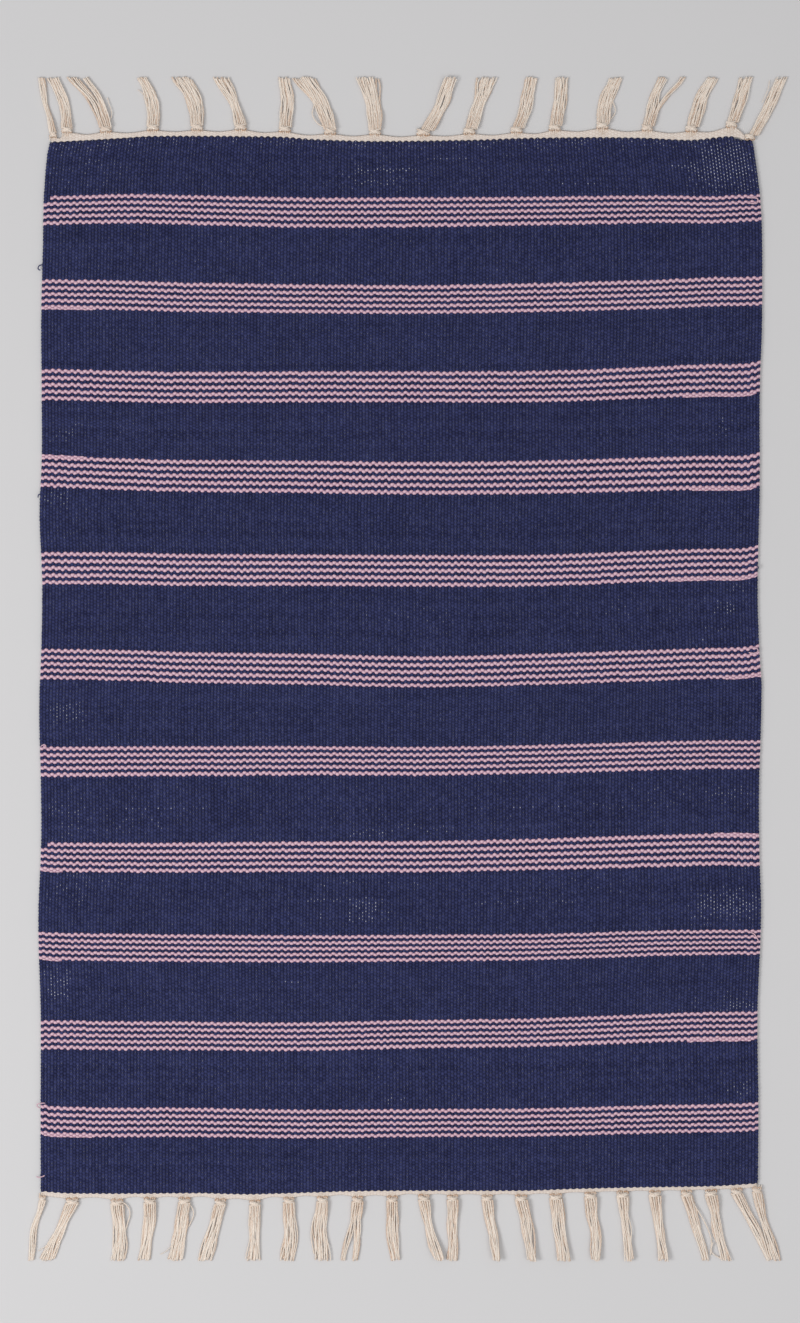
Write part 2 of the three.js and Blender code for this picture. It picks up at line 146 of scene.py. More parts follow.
# Rows where the warp shows. Columns: from and to across the rug, place along it, picks, share of warps.
THIN_ROWS = [
    (-39.0, 17.0, 416.8, 2, 0.85), (17.0, 58.0, 427.0, 1, 0.6), (-38.0, -6.0, 406.0, 3, 0.55),
    (226.0, 252.0, 419.2, 2, 0.8), (86.0, 132.0, 417.6, 1, 0.5), (-66.0, -28.0, 246.0, 1, 0.5),
    (118.0, 168.0, 406.0, 1, 0.45), (-105.0, -60.0, -262.0, 1, 0.5), (60.0, 150.0, -196.5, 2, 0.35),
    (262.0, 279.0, 47.5, 8, 0.5), (272.0, 297.0, 65.0, 5, 0.35), (251.0, 281.0, 32.0, 7, 0.16),
    (249.0, 252.5, 24.5, 1, 0.9), (200.0, 250.0, 40.0, 8, 0.05), (-84.0, -46.0, -195.0, 2, 0.45),
    (-46.0, -20.0, -211.0, 15, 0.66), (-20.0, -3.0, -210.0, 14, 0.24), (-72.0, -62.0, -181.5, 4, 0.4),
    (-49.0, -34.0, -180.0, 3, 0.55), (-72.0, -66.0, -209.0, 3, 0.5), (-20.0, 15.0, -182.0, 3, 0.2),
    (-47.0, -13.0, -140.0, 4, 0.5), (-82.0, -60.0, -135.0, 3, 0.35), (-262.0, -160.0, -117.0, 1, 0.65),
    (-45.0, 150.0, -117.0, 1, 0.4), (145.0, 296.0, -116.0, 7, 0.17), (190.0, 296.0, -106.0, 6, 0.22),
    (262.0, 296.0, -104.0, 3, 0.5), (-298.0, -200.0, -137.0, 11, 0.16), (-13.0, 45.0, -136.0, 5, 0.24),
    (-295.0, -190.0, -184.0, 8, 0.12), (90.0, 190.0, -200.0, 20, 0.09), (-298.0, -262.0, -118.0, 3, 0.3),
    (-16.0, 8.0, -364.0, 6, 0.3), (272.0, 292.0, -355.0, 7, 0.4), (240.0, 298.0, -284.0, 8, 0.15),
    (-49.0, 36.0, 38.0, 12, 0.08), (147.0, 219.0, 46.0, 6, 0.13),
]

# The tassels from left to right, in millimetres. Columns: the knot's place across the rug, from the woven end
# to the knot's middle, where the bundle lies halfway and at its cut end, its width halfway and there, and the
# knot's width.
Tassel = namedtuple("Tassel", "x out mid end wide fan knot")
TOP_TASSELS = [
    (-290.5, 6.6, -296.5, -300.5, 5.0, 6.0, 4.6), (-279.0, 9.6, -282.0, -291.0, 9.0, 9.6, 7.0),
    (-246.5, 8.4, -253.0, -264.5, 11.0, 8.6, 7.5), (-207.0, 7.6, -207.0, -216.0, 11.5, 8.6, 7.5),
    (-170.0, 7.8, -172.0, -182.5, 12.0, 15.0, 7.5), (-133.5, 8.4, -139.5, -149.5, 8.6, 12.0, 7.5),
    (-96.5, 7.4, -94.0, -97.5, 11.0, 10.0, 7.5), (-58.5, 8.0, -66.0, -81.0, 13.0, 17.0, 7.5),
    (-21.0, 8.4, -22.5, -28.0, 12.5, 16.0, 7.5), (19.5, 7.6, 35.5, 42.0, 12.0, 11.0, 8.5),
    (58.0, 8.0, 66.5, 73.0, 11.0, 14.5, 7.5), (97.5, 7.6, 106.0, 110.0, 10.5, 11.0, 7.5),
    (129.5, 9.0, 134.5, 135.0, 11.0, 11.6, 7.5), (169.5, 10.4, 173.0, 180.5, 11.5, 11.6, 7.5),
    (207.0, 9.0, 213.0, 221.0, 11.5, 8.6, 7.0), (244.0, 10.0, 251.5, 261.0, 12.0, 8.4, 7.5),
    (277.5, 11.0, 284.5, 290.5, 9.4, 11.0, 7.0), (293.0, 2.9, 309.5, 319.5, 9.6, 11.0, 6.4),
]
BOTTOM_TASSELS = [
    (-299.5, 6.6, -306.5, -309.0, 3.4, 6.2, 4.2), (-274.5, 7.0, -286.0, -296.0, 8.0, 12.0, 8.0),
    (-237.0, 7.6, -234.5, -236.0, 9.0, 12.0, 8.0), (-209.5, 6.6, -210.0, -214.5, 9.0, 9.6, 7.5),
    (-180.5, 6.6, -184.0, -188.5, 11.0, 12.4, 7.5), (-150.5, 7.6, -157.0, -163.0, 9.6, 11.4, 7.0),
    (-121.5, 8.0, -122.0, -122.5, 8.6, 11.4, 7.0), (-93.0, 6.4, -92.0, -94.0, 9.0, 11.0, 7.0),
    (-65.0, 6.6, -66.5, -65.0, 11.4, 12.0, 7.0), (-35.5, 7.4, -37.5, -38.5, 9.6, 7.0, 7.0),
    (-6.5, 7.4, -6.5, -3.5, 9.6, 7.4, 7.0), (20.0, 6.4, 25.0, 33.0, 8.0, 8.0, 7.0),
    (44.0, 6.4, 44.5, 44.0, 8.4, 8.4, 7.0), (73.0, 6.4, 77.0, 81.0, 9.0, 7.0, 7.0),
    (101.5, 6.4, 106.5, 110.5, 9.4, 7.4, 7.5), (130.5, 6.4, 134.0, 137.5, 11.0, 9.6, 8.0),
    (159.5, 6.0, 162.5, 164.5, 9.0, 6.8, 7.5), (186.5, 5.9, 189.5, 192.0, 7.6, 6.4, 7.5),
    (213.5, 5.9, 217.0, 220.5, 7.4, 9.0, 7.5), (240.0, 6.0, 249.0, 256.0, 8.0, 6.4, 7.0),
    (260.5, 6.0, 266.5, 272.5, 7.6, 9.2, 7.5), (282.0, 5.9, 297.0, 309.0, 7.4, 5.0, 7.0),
    (299.0, 6.0, 306.0, 315.0, 7.0, 7.6, 6.0),
]

# The fringes. Columns: name, side, woven end, tassels, the heading's start and its width there, its stop and
# its width there, and how far a bundle that leans right leaves its knot on that side, as a share of its lean.
Fringe = namedtuple("Fringe", "name side woven tassels start start_width stop stop_width leave")
FRINGES = [
    Fringe("top", 1, TOP_END, [Tassel(*row) for row in TOP_TASSELS], -292.4, 3.2, 289.2, 3.4, 0.2),
    Fringe("bottom", -1, BOTTOM_END, [Tassel(*row) for row in BOTTOM_TASSELS], -300.2, 3.2, 299.2, 2.7, 0.0),
]

# Yarns that part from their bundle as a lock. Columns: tassel, share of the bundle (negative from its left),
# where the lock ends across the rug, and its width there.
STRAYS = {
    "tassel_top_03": (-0.48, -273.6, 9.0), "tassel_top_15": (0.26, 237.0, 3.4),
    "tassel_bottom_10": (-0.42, -47.5, 5.0),
}

# Yarns that bow or curl away from their bundle. Columns: tassel, diameter, then their places in millimetres.
WISPS = [
    (
        "tassel_top_03", 0.8,
        [(-246.5, 455.0), (-242.6, 460.0), (-241.4, 466.0), (-243.6, 473.0), (-245.2, 478.5)],
    ),
    ("tassel_top_04", 0.7, [(-212.0, 474.0), (-215.0, 481.0), (-219.6, 485.2)]),
    ("tassel_top_08", 1.2, [(-59.5, 452.5), (-68.5, 456.5), (-73.4, 464.5), (-72.0, 473.0), (-73.5, 482.0)]),
    ("tassel_top_14", 1.0, [(171.0, 456.5), (177.0, 461.0), (180.4, 467.6), (178.0, 476.0)]),
    ("tassel_top_18", 0.7, [(303.0, 474.0), (308.0, 485.0), (309.5, 493.0)]),
    ("tassel_bottom_02", 0.7, [(-288.0, -472.0), (-296.5, -483.0), (-303.0, -487.5)]),
    (
        "tassel_bottom_03", 1.3,
        [(-235.5, -445.0), (-229.0, -449.0), (-226.2, -456.0), (-228.4, -465.0), (-231.0, -474.0)],
    ),
    ("tassel_bottom_05", 1.2, [(-179.5, -446.0), (-174.5, -450.5), (-173.0, -457.5), (-177.0, -467.0)]),
    ("tassel_bottom_05", 0.7, [(-189.0, -480.0), (-195.0, -487.0), (-201.0, -490.5)]),
    ("tassel_bottom_09", 1.3, [(-67.5, -448.0), (-72.6, -461.0), (-74.4, -475.0), (-72.0, -490.0)]),
    ("tassel_bottom_20", 1.3, [(243.0, -443.0), (255.5, -464.0), (260.6, -478.0), (260.0, -491.0)]),
    ("tassel_bottom_21", 1.1, [(262.0, -480.0), (261.0, -488.5), (268.5, -493.8)]),
]

# Loops and ends of weft that stand out of the selvedges. Columns: whether pink, then places in millimetres.
LOOSE_WEFTS = [
    (True, [(291.0, 394.6), (298.3, 394.2), (299.8, 391.8), (297.5, 389.6), (291.5, 390.3)]),
    (True, [(292.0, 17.8), (298.3, 17.4), (299.8, 15.1), (296.7, 13.2), (292.0, 13.8)]),
    (True, [(290.5, -219.8), (296.0, -221.4), (298.5, -225.0), (300.2, -227.3)]),
    (True, [(-297.0, -363.4), (-302.8, -363.9), (-303.8, -366.0), (-301.7, -367.4)]),
    (True, [(-300.5, -64.8), (-298.0, -63.2), (-296.2, -65.0), (-298.3, -66.6)]),
    (True, [(-297.5, -424.2), (-302.0, -425.6), (-304.4, -424.8)]),
    (False, [(-297.5, 339.0), (-302.0, 337.6), (-303.0, 335.0), (-301.0, 333.8)]),
    (False, [(-297.5, 147.0), (-302.4, 146.0), (-303.0, 143.6)]),
    (False, [(296.5, 87.0), (299.6, 86.0), (300.1, 84.6), (298.6, 83.6)]),
]

# Tassels whose cut ends stand off the floor. Columns: tassel, how far in millimetres.
LIFTED = {
    "tassel_bottom_12": 3.0, "tassel_bottom_14": 4.0, "tassel_bottom_15": 3.4, "tassel_bottom_16": 2.4,
    "tassel_bottom_17": 2.6, "tassel_bottom_18": 2.6, "tassel_bottom_19": 2.2, "tassel_top_10": 2.0,
}

# The cloth and its edges. Lengths are in millimetres. CLOTH_ROWS counts rows of the grid and TURN_STEP picks,
# and the two rim values that follow its inset are shares.
CLOTH_ROWS = 98
END_ROW = 1.6
END_THIN = 7.0
RIM_INSET = 0.45
RIM_FLAT = 0.55
RIM_FACING = 0.4
SCALLOPS = (0.8, 1.15)
TURN_INSET = 0.55
TURN_HALF = (0.95, 1.4, 1.25)
TURN_STEP = 2
LOOSE_LEVEL = 0.2
LOOSE_ENDS = (0.8, 0.3)

# The margin of a sheet's bake map, how far its rim stands out of its faces there, and how far a turn of weft
# reaches over its warp and its pick.
MAP_EDGE = 0.004
MAP_RIM = (1.014, 1.006)
TURN_REACH = (0.42, 0.6)

# The headings. Lengths are in millimetres. HEADING_RIBS is a share of the relief, and KNOT_SHADE_REACH of a
# knot's width.
HEADING_PICKS = 6
HEADING_TUCK = 0.9
HEADING_DIP = 1.3
HEADING_LEAST = 2.4
HEADING_END = 1.2
HEADING_RIBS = 0.6
PIECE_GAP = 0.3
KNOT_SHADE_REACH = 0.55

# The knots. Lengths are in millimetres, and WRAP_TUCK and TURN_TILT are angles. A spread or a reach is a share
# of the knot's width, and WRAP_SIZE of a yarn's. WRAP_PLACES gives the first and last place as shares of the
# knot's depth, and how many there are; CROSS_WRAP gives one more wrap's place, slope and rise.
KNOT_DEPTH = 5.0
KNOT_HEIGHT = 5.0
KNOT_SPREAD = 1.42
FULL_KNOT = 7.5
WRAP_DEPTH = 4.3
WRAP_SIZE = 1.45
WRAP_PLACES = (-0.45, 0.45, 4)
WRAP_SLOPE = 1.1
CROSS_WRAP = (0.1, -2.1, 0.15)
WRAP_FOOT = 0.7
WRAP_TUCK = 0.25
KNOT_TAPER = 0.4

# The warps that gather into a knot, and the turns at its foot. GATHER_START is from and to as shares of the
# heading's width; GATHER_TOP, GATHER_REACH and TURN_PLACES are shares of the knot's width.
GATHER_REACH = 0.62
GATHER_PITCH = 1.5
GATHER_SIZE = 1.3
GATHER_START = (0.3, 0.5)
GATHER_TOP = 0.42
GATHER_LEVELS = (1.0, 1.9, 2.6)
TURN_SIZE = 0.9
TURN_PLACES = (-0.35, 0.35)
TURN_TILT = (-0.2, 0.2)
TURN_BOW = (1.4, 2.2)

# The bundles. Pairs are from and to, and lengths are in millimetres. The upper and lower level and size are
# shares of a yarn's diameter, ROOT_LEVELS of a knot's height, and SIZE_RANGE of a yarn's size.
FRINGE_END = 496.0
FULL_BUNDLE = 10.0
LEAST_YARNS = 8
MOST_YARNS = 27
YARN_WAIST = 0.76
YARN_POINTS = 13
TRIM_MOST = 2.4
TIP_DISORDER = 0.13
DRIFT = (0.2, 0.7)
DRIFT_TURNS = (4, 7)
BOW = 0.45
SWAY = (0.25, 0.95)
SWAY_TURNS = (5, 11)
UPPER_LEVEL = 1.06
LOWER_LEVEL = 0.5
ROOT_LEVELS = (0.28, 0.45, 0.62)
LEVEL_RANGE = (-0.05, 0.15)
RIPPLE = 0.25
WISP_LEVELS = (2.2, 0.9)
UPPER_SIZE = 1.0
LOWER_SIZE = 1.42
SIZE_RANGE = (0.88, 1.05)
LOOSE_WIDTH = 1.2

# Where along a yarn a bundle opens, closes, comes down and sheds a lock, as shares of its length.
OPENING = (0.0, 0.35)
CLOSING = (0.4, 1.0)
SETTLING = (0.0, 0.45)
PARTING = (0.3, 1.05)

# Tones of the yarns, from 0 for the lightest to 1 for the darkest and beyond for those in shade. The lower
# layer's and the turns' tones are painted shade, as they lie under other yarns or at a knot's foot; the rest
# are each yarn's own tone.
UPPER_TONE = (0.0, 0.3)
LOWER_TONE = (0.35, 0.95)
WRAP_TONE = (0.2, 0.55)
GATHER_TONE = (0.1, 0.6)
TURN_TONE = (1.1, 1.9)
LOOSE_TONE = 0.3

# How far the red, green and blue of a colour are taken down for its darker forms: the painted shade at the
# ends of the pink floats; the darker end of the loose pink loops, which also paints the shade where their
# plies meet; the darker end of the headings' cream, below their painted highlights; the painted shade in the
# headings' gaps; stains and the painted shade by the knots; and the floor's paler patches.
PINK_DUSK = (0.66, 0.52, 0.62)
PINK_LOOP = (0.6, 0.6, 0.6)
CREAM_DULL = (0.86, 0.8, 0.77)
CREAM_GAP = (0.5, 0.42, 0.36)
CREAM_BROWN = (0.5, 0.4, 0.3)
FLOOR_PALE = (0.97, 0.97, 0.97)
# The painted shade in the gaps between the weft's floats.
WEFT_GAP = (0.010, 0.010, 0.024)

# How much each thing counts in a material's shade. The ridge and dome keys are painted highlight, on the
# middle of each warp and on each float's dome; own, row, patch, column and fibre are the yarns' own tones.
# For the tassels, crease is painted shade where the plies meet, and tone is each yarn's own tone and, for
# yarns that lie under others, painted shade.
WEFT_LIGHT = {
    "own": 0.34, "ridge": 0.18, "dome": 0.5, "row": 0.2, "patch": 0.32, "column": 0.45, "fibre": 0.4,
}
HEADING_LIGHT = {"own": 0.35, "dome": 0.5, "fibre": 0.7}
YARN_SHADE = {"crease": 0.26, "tone": 0.5, "fibre": 0.35, "grime": 0.6}

# The warp's chance to show at a thin place, in a thin patch and anywhere, and the most of its faint marks.
WARP_CHANCE = (1.05, 0.04, 0.003)
WARP_FAINT = 0.17

# The floor lies just under the rug, in millimetres.
FLOOR_LEVEL = -0.2

# The camera's view: millimetres for each pixel of the photograph, its height, how many pixels its middle lies
# above the middle line of the tables, and the height of the sensor.
PIXEL = 0.838
PHOTO_HEIGHT = 1323
PHOTO_RISE = 7.5
SENSOR = 36.0


def linear(red, green, blue):
    """A colour given as it looks on a screen, as the scene's linear light."""
    levels = (red / 255, green / 255, blue / 255)
    return tuple(((c + 0.055) / 1.055) ** 2.4 if c > 0.04045 else c / 12.92 for c in levels)


def shaded(colour, shares):
    """A colour with its red, green and blue each taken down to a share."""
    return tuple(part * share for part, share in zip(colour, shares))


def colour_property(name, description, colour):
    """A colour that a user may change."""
    return FloatVectorProperty(
        name=name, description=description, subtype="COLOR", size=3, min=0.0, max=1.0, default=colour
    )


def length_property(name, description, millimetres):
    """A length that a user may change."""
    return FloatProperty(
        name=name, description=description, default=millimetres * MM, min=0.0, unit="LENGTH", precision=5
    )


def number_property(name, description, default, least=0.0):
    """A plain number that a user may change."""
    return FloatProperty(name=name, description=description, default=default, min=least)


class KilimClothSettings(bpy.types.PropertyGroup):
    """Sizes and colours of the woven cloth and its headings."""

    thickness: length_property("Thickness", "Thickness of the woven body", 3.0)
    rib_height: length_property("Rib Height", "How far the ribs over the warps stand out", 0.4)
    unevenness: length_property("Unevenness", "How far the cloth waves as it lies", 0.35)
    heading_thickness: length_property("Heading Thickness", "Thickness of the cream headings", 2.2)
    heading_relief: length_property("Heading Relief", "How far a heading's threads stand out", 0.28)
    navy: colour_property("Navy", "Colour of the ground weft", linear(11, 15, 51))
    navy_light: colour_property("Light Navy", "Colour of the ground weft in the light", linear(57, 63, 109))
    pink: colour_property("Pink", "Colour of the weft of the lines", linear(230, 195, 208))
    cream: colour_property("Cream", "Colour of the headings", linear(240, 231, 223))
    warp: colour_property("Warp", "Colour of the warp where it shows between wefts", linear(214, 217, 232))


class KilimYarnSettings(bpy.types.PropertyGroup):
    """Sizes and colours of the tassels' yarns."""

    diameter: length_property("Diameter", "Diameter of a tassel's yarn", 1.22)
    twist: length_property("Twist", "Length of one full turn of a yarn's two plies", 8.0)
    step: length_property("Step", "Distance between two sections of a yarn", 1.2)
    yarns: IntProperty(name="Yarns", description="Yarns in a full tassel", default=19, min=3, max=24)
    light: colour_property("Light Yarn", "Colour of the lightest yarns", linear(253, 245, 235))
    # The dark colour also paints shade, where a yarn's plies meet and on yarns under others.
    dark: colour_property("Dark Yarn", "Colour of the darkest yarns and creases", linear(200, 158, 124))


class KilimStageSettings(bpy.types.PropertyGroup):
    """The floor, the light and the camera."""

    floor_size: length_property("Floor Size", "Width of the floor", 8000.0)
    floor_colour: colour_property("Floor Colour", "Colour of the floor", linear(216, 215, 216))
    key_power: number_property("Key Light", "Power of the light from the left", 43.0)
    fill_power: number_property("Fill Light", "Power of the overhead light", 19.6)
    room_light: number_property("Room Light", "Strength of the soft light from all sides", 0.477)
    lens: number_property("Lens", "The camera's focal length in millimetres", 100.0, 10.0)


# Drawing node trees


class Term:
    """An output of a node, which sums can be written with."""

    def __init__(self, sketch, socket):
        self.sketch = sketch
        self.socket = socket

    def calc(self, operation, *others):
        """One step of arithmetic that starts from this value."""
        return self.sketch.add("ShaderNodeMath", dict(enumerate((self, *others))), operation=operation)

    def __add__(self, other):
        return self.calc("ADD", other)

    def __sub__(self, other):
        return self.calc("SUBTRACT", other)

    def __rsub__(self, other):
        return self.sketch.add("ShaderNodeMath", {0: other, 1: self}, operation="SUBTRACT")

    def __mul__(self, other):
        return self.calc("MULTIPLY", other)

    def __truediv__(self, other):
        return self.calc("DIVIDE", other)

    def __abs__(self):
        return self.calc("ABSOLUTE")

    __radd__ = __add__
    __rmul__ = __mul__

    def clamped(self):
        """The same sum, kept between 0 and 1."""
        self.socket.node.use_clamp = True
        return self

    def between(self, low, high):
        """1 where this value lies between two numbers, and 0 elsewhere."""
        return self.calc("COMPARE", (low + high) / 2, (high - low) / 2)

    def ramp(self, low, high, to_low=0.0, to_high=1.0):
        """This value taken smoothly from one range to another."""
        values = {"Value": self, "From Min": low, "From Max": high, "To Min": to_low, "To Max": to_high}
        return self.sketch.add("ShaderNodeMapRange", values, "Result", interpolation_type="SMOOTHSTEP")


class Sketch:
    """A node tree that is being drawn."""

    def __init__(self, tree):
        self.tree = tree

    def feed(self, made, values):
        """Gives a node's inputs a value or a link each."""
        for key, value in values.items():
            if isinstance(value, Term):
                self.tree.links.new(value.socket, made.inputs[key])
            else:
                made.inputs[key].default_value = value

    def add(self, kind, values=None, get=0, **settings):
        """Adds a node, sets it up, and gives one of its outputs, or a list where get names several."""
        made = self.tree.nodes.new(kind)
        for key, value in settings.items():
            setattr(made, key, value)
        self.feed(made, values or {})
        if isinstance(get, tuple):
            return [Term(self, made.outputs[key]) for key in get]
        return Term(self, made.outputs[get])

    def use(self, group, **values):
        """Places a shader group and gives its outputs by their names."""
        made = self.tree.nodes.new("ShaderNodeGroup")
        made.node_tree = group
        self.feed(made, values)
        return {socket.name: Term(self, socket) for socket in made.outputs}

    def vector(self, operation, first, second):
        """One step of arithmetic on vectors; SCALE takes a number second."""
        values = {0: first, "Scale" if operation == "SCALE" else 1: second}
        return self.add("ShaderNodeVectorMath", values, operation=operation)

    def noise(self, place, scale, detail=2.0, rough=0.5):
        """Soft noise, mostly between 0.3 and 0.7."""
        values = {"Vector": place, "Scale": scale, "Detail": detail, "Roughness": rough}
        return self.add("ShaderNodeTexNoise", values)

    def random(self, *parts):
        """A random share for a cell that two or three numbers name."""
        cell = self.add("ShaderNodeCombineXYZ", dict(enumerate(parts)))
        return self.add("ShaderNodeTexWhiteNoise", {"Vector": cell}, "Value", noise_dimensions="3D")

    def mix(self, share, first, second):
        """Two colours mixed by a share."""
        first, second = (end if isinstance(end, Term) else (*end, 1.0) for end in (first, second))
        return self.add("ShaderNodeMix", {0: share, 6: first, 7: second}, 2, data_type="RGBA")

    def painted(self, name, get="Fac"):
        """An attribute of the piece, read by a material."""
        return self.add("ShaderNodeAttribute", get=get, attribute_name=name)

    def weave_map(self):
        """The warp and pick coordinates that a woven piece carries as a UV map."""
        return self.add("ShaderNodeUVMap", uv_map="Weave")

    def field(self, name):
        """An attribute of the piece, read by a Geometry Nodes tree."""
        return self.add("GeometryNodeInputNamedAttribute", {"Name": name}, "Attribute", data_type="FLOAT")

    def store(self, geometry, name, value, kind="FLOAT"):
        """Stores an attribute on a shape's points."""
        values = {"Geometry": geometry, "Name": name, "Value": value}
        return self.add("GeometryNodeStoreNamedAttribute", values, data_type=kind, domain="POINT")

    def finished(self, geometry, material):
        """A smooth shape, with its instances made real and its material set."""
        even = self.add("GeometryNodeSetShadeSmooth", {"Geometry": geometry})
        real = self.add("GeometryNodeRealizeInstances", {"Geometry": even})
        return {"Geometry": self.add("GeometryNodeSetMaterial", {"Geometry": real, "Material": material})}


def weighed(weights, **parts):
    """The sum of some values, each times its own weight."""
    return sum(part * weights[key] for key, part in parts.items())


SOCKETS = {float: "Float", int: "Int", tuple: "Vector"}


def node_group(name, kind, inputs, outputs):
    """Turns a function that draws a node group's inside into one that gives the group, which is built once.

    inputs gives each socket's default, or its type where it has none. A shader group puts out numbers.
    """

    def turned(draw):
        def group():
            tree = bpy.data.node_groups.get(name)
            if tree:
                return tree
            tree = bpy.data.node_groups.new(name, f"{kind}NodeTree")
            for label, default in inputs.items():
                plain = not isinstance(default, str)
                socket = SOCKETS[type(default)] if plain else default
                made = tree.interface.new_socket(label, in_out="INPUT", socket_type=f"NodeSocket{socket}")
                if plain:
                    made.default_value = default
            socket = "NodeSocketGeometry" if kind == "Geometry" else "NodeSocketFloat"
            for label in outputs:
                tree.interface.new_socket(label, in_out="OUTPUT", socket_type=socket)
            sketch = Sketch(tree)
            given = {socket.name: Term(sketch, socket) for socket in tree.nodes.new("NodeGroupInput").outputs}
            sketch.feed(tree.nodes.new("NodeGroupOutput"), draw(sketch, given))
            return tree

        return group

    return turned


# Shader groups


@node_group(
    "Weave Float",
    "Shader",
    {"Weave": "Vector", "Wave": 0.0, "Pinch": 0.42},
    ("Warp", "Pick", "Edge", "Along", "Dome", "Gap", "Joint"),
)
def weave_float(sketch, given):
    """Where a point lies in a plain weave: its warp, the pick that shows there, and that float's shape."""
    across, along = sketch.add("ShaderNodeSeparateXYZ", {0: given["Weave"]}, ("X", "Y"))
    warp = across.calc("FLOOR")
    centred = across.calc("FRACT") - 0.5
    odd = warp.calc("FLOORED_MODULO", 2.0)
    waved = (across * math.pi).calc("SINE") * given["Wave"] + along
    pick = ((waved + 1.0 - odd) / 2.0).calc("FLOOR") * 2.0 + odd
    local = waved - pick
    edge = abs(centred * 2.0).calc("POWER", 2.0)
    share = abs(local / (1.0 - edge * given["Pinch"]))
    rounded = (1.0 - share.calc("POWER", 2.0)).clamped()
    return {
        "Warp": warp,
        "Pick": pick,
        "Edge": edge,
        "Along": local,
        "Dome": rounded * (1.0 - edge * 0.7),
        "Gap": share.ramp(0.82, 1.06),
        "Joint": pick + local.calc("SIGN"),
    }


@node_group("Stripe Lines", "Shader", {"Warp": 0.0, "Pick": 0.0}, ("Pink",))
def stripe_lines(sketch, given):
    """Whether a pick is pink at a warp: the stripe groups' lines, and where one is missing."""
    pick = given["Pick"]
    starts = group_starts()
    inside = sum(pick.between(start - 0.5, start + GROUP_PICKS - 0.5) for start in starts)
    odd_pair = (pick / LINE_PICKS).calc("FLOOR").calc("FLOORED_MODULO", 2.0)
    pink = (inside * odd_pair.between(-0.1, 0.1)).clamped()
    for group, first, picks, from_, to in MISSING_LINES:
        start = starts[group - 1] + first - 0.5
        there = warps_between(given["Warp"], from_, to, STRIPE_GROUPS[group - 1][MIDDLE_COLUMN])
        pink = (pink - there * pick.between(start, start + picks)).clamped()
    return {"Pink": pink}


def warps_between(warp, from_, to, along):
    """Whether a warp lies between two places across the rug, at one place along it."""
    return warp.between(float(warp_at(from_, along)), float(warp_at(to, along)))


@node_group("Doubled Lines", "Shader", {"Warp": 0.0, "Along": 0.0}, ("Pink",))
def doubled_lines(sketch, given):
    """Where a line is doubled: there its edge runs straight, as one thick flat weft does."""
    total = 0.0
    for group, low, high, from_, to in DOUBLED_LINES:
        start = group_starts()[group - 1]
        there = warps_between(given["Warp"], from_, to, STRIPE_GROUPS[group - 1][MIDDLE_COLUMN])
        total = (there * given["Along"].between(start + low, start + high)).calc("MAXIMUM", total)
    return {"Pink": total}


@node_group("Thin Rows", "Shader", {"Warp": 0.0, "Pick": 0.0}, ("Share",))
def thin_rows(sketch, given):
    """The share of warps that show at a warp and a pick, in the rows that were beaten in loosely."""
    total = 0.0
    for from_, to, along, picks, share in THIN_ROWS:
        first = round(float(np.interp(along, *pick_rows((from_ + to) / 2)))) - 0.5
        there = warps_between(given["Warp"], from_, to, along) * given["Pick"].between(first, first + picks)
        total = (there * share).calc("MAXIMUM", total)
    return {"Share": total}


@node_group("Cotton Fibre", "Shader", {"Vector": "Vector", "Stretch": (1.0, 1.0, 1.0)}, ("Share", "Height"))
def cotton_fibre(sketch, given):
    """Fine cotton fibres: streaks that run along X of the vector given, as a share and as a height."""
    stretched = sketch.vector("MULTIPLY", given["Vector"], given["Stretch"])
    fine = sketch.noise(stretched, 1.0, 3.0, 0.65)
    coarse = sketch.noise(stretched, 0.23, 1.0)
    return {"Share": fine.ramp(0.32, 0.68), "Height": coarse * 0.5 + fine * 0.5}


# Materials


def surface(name):
    """A new material, with a sketch of its tree and its shader."""
    material = bpy.data.materials.new(name)
    material.use_nodes = True
    return material, Sketch(material.node_tree), material.node_tree.nodes["Principled BSDF"]


def cotton(sketch, shader, colour, height, bump, share, rough, sheen=0.0):
    """Sets a cotton surface: its colour, its relief with a strength and a depth, its roughness and sheen."""
    strength, depth = bump
    normal = sketch.add("ShaderNodeBump", {"Height": height, "Strength": strength, "Distance": depth * MM})
    sketch.feed(shader, {"Base Color": colour, "Normal": normal, "Roughness": share.ramp(0.0, 1.0, *rough)})
    shader.inputs["Sheen Weight"].default_value = sheen
    shader.inputs["Specular IOR Level"].default_value = 0.2


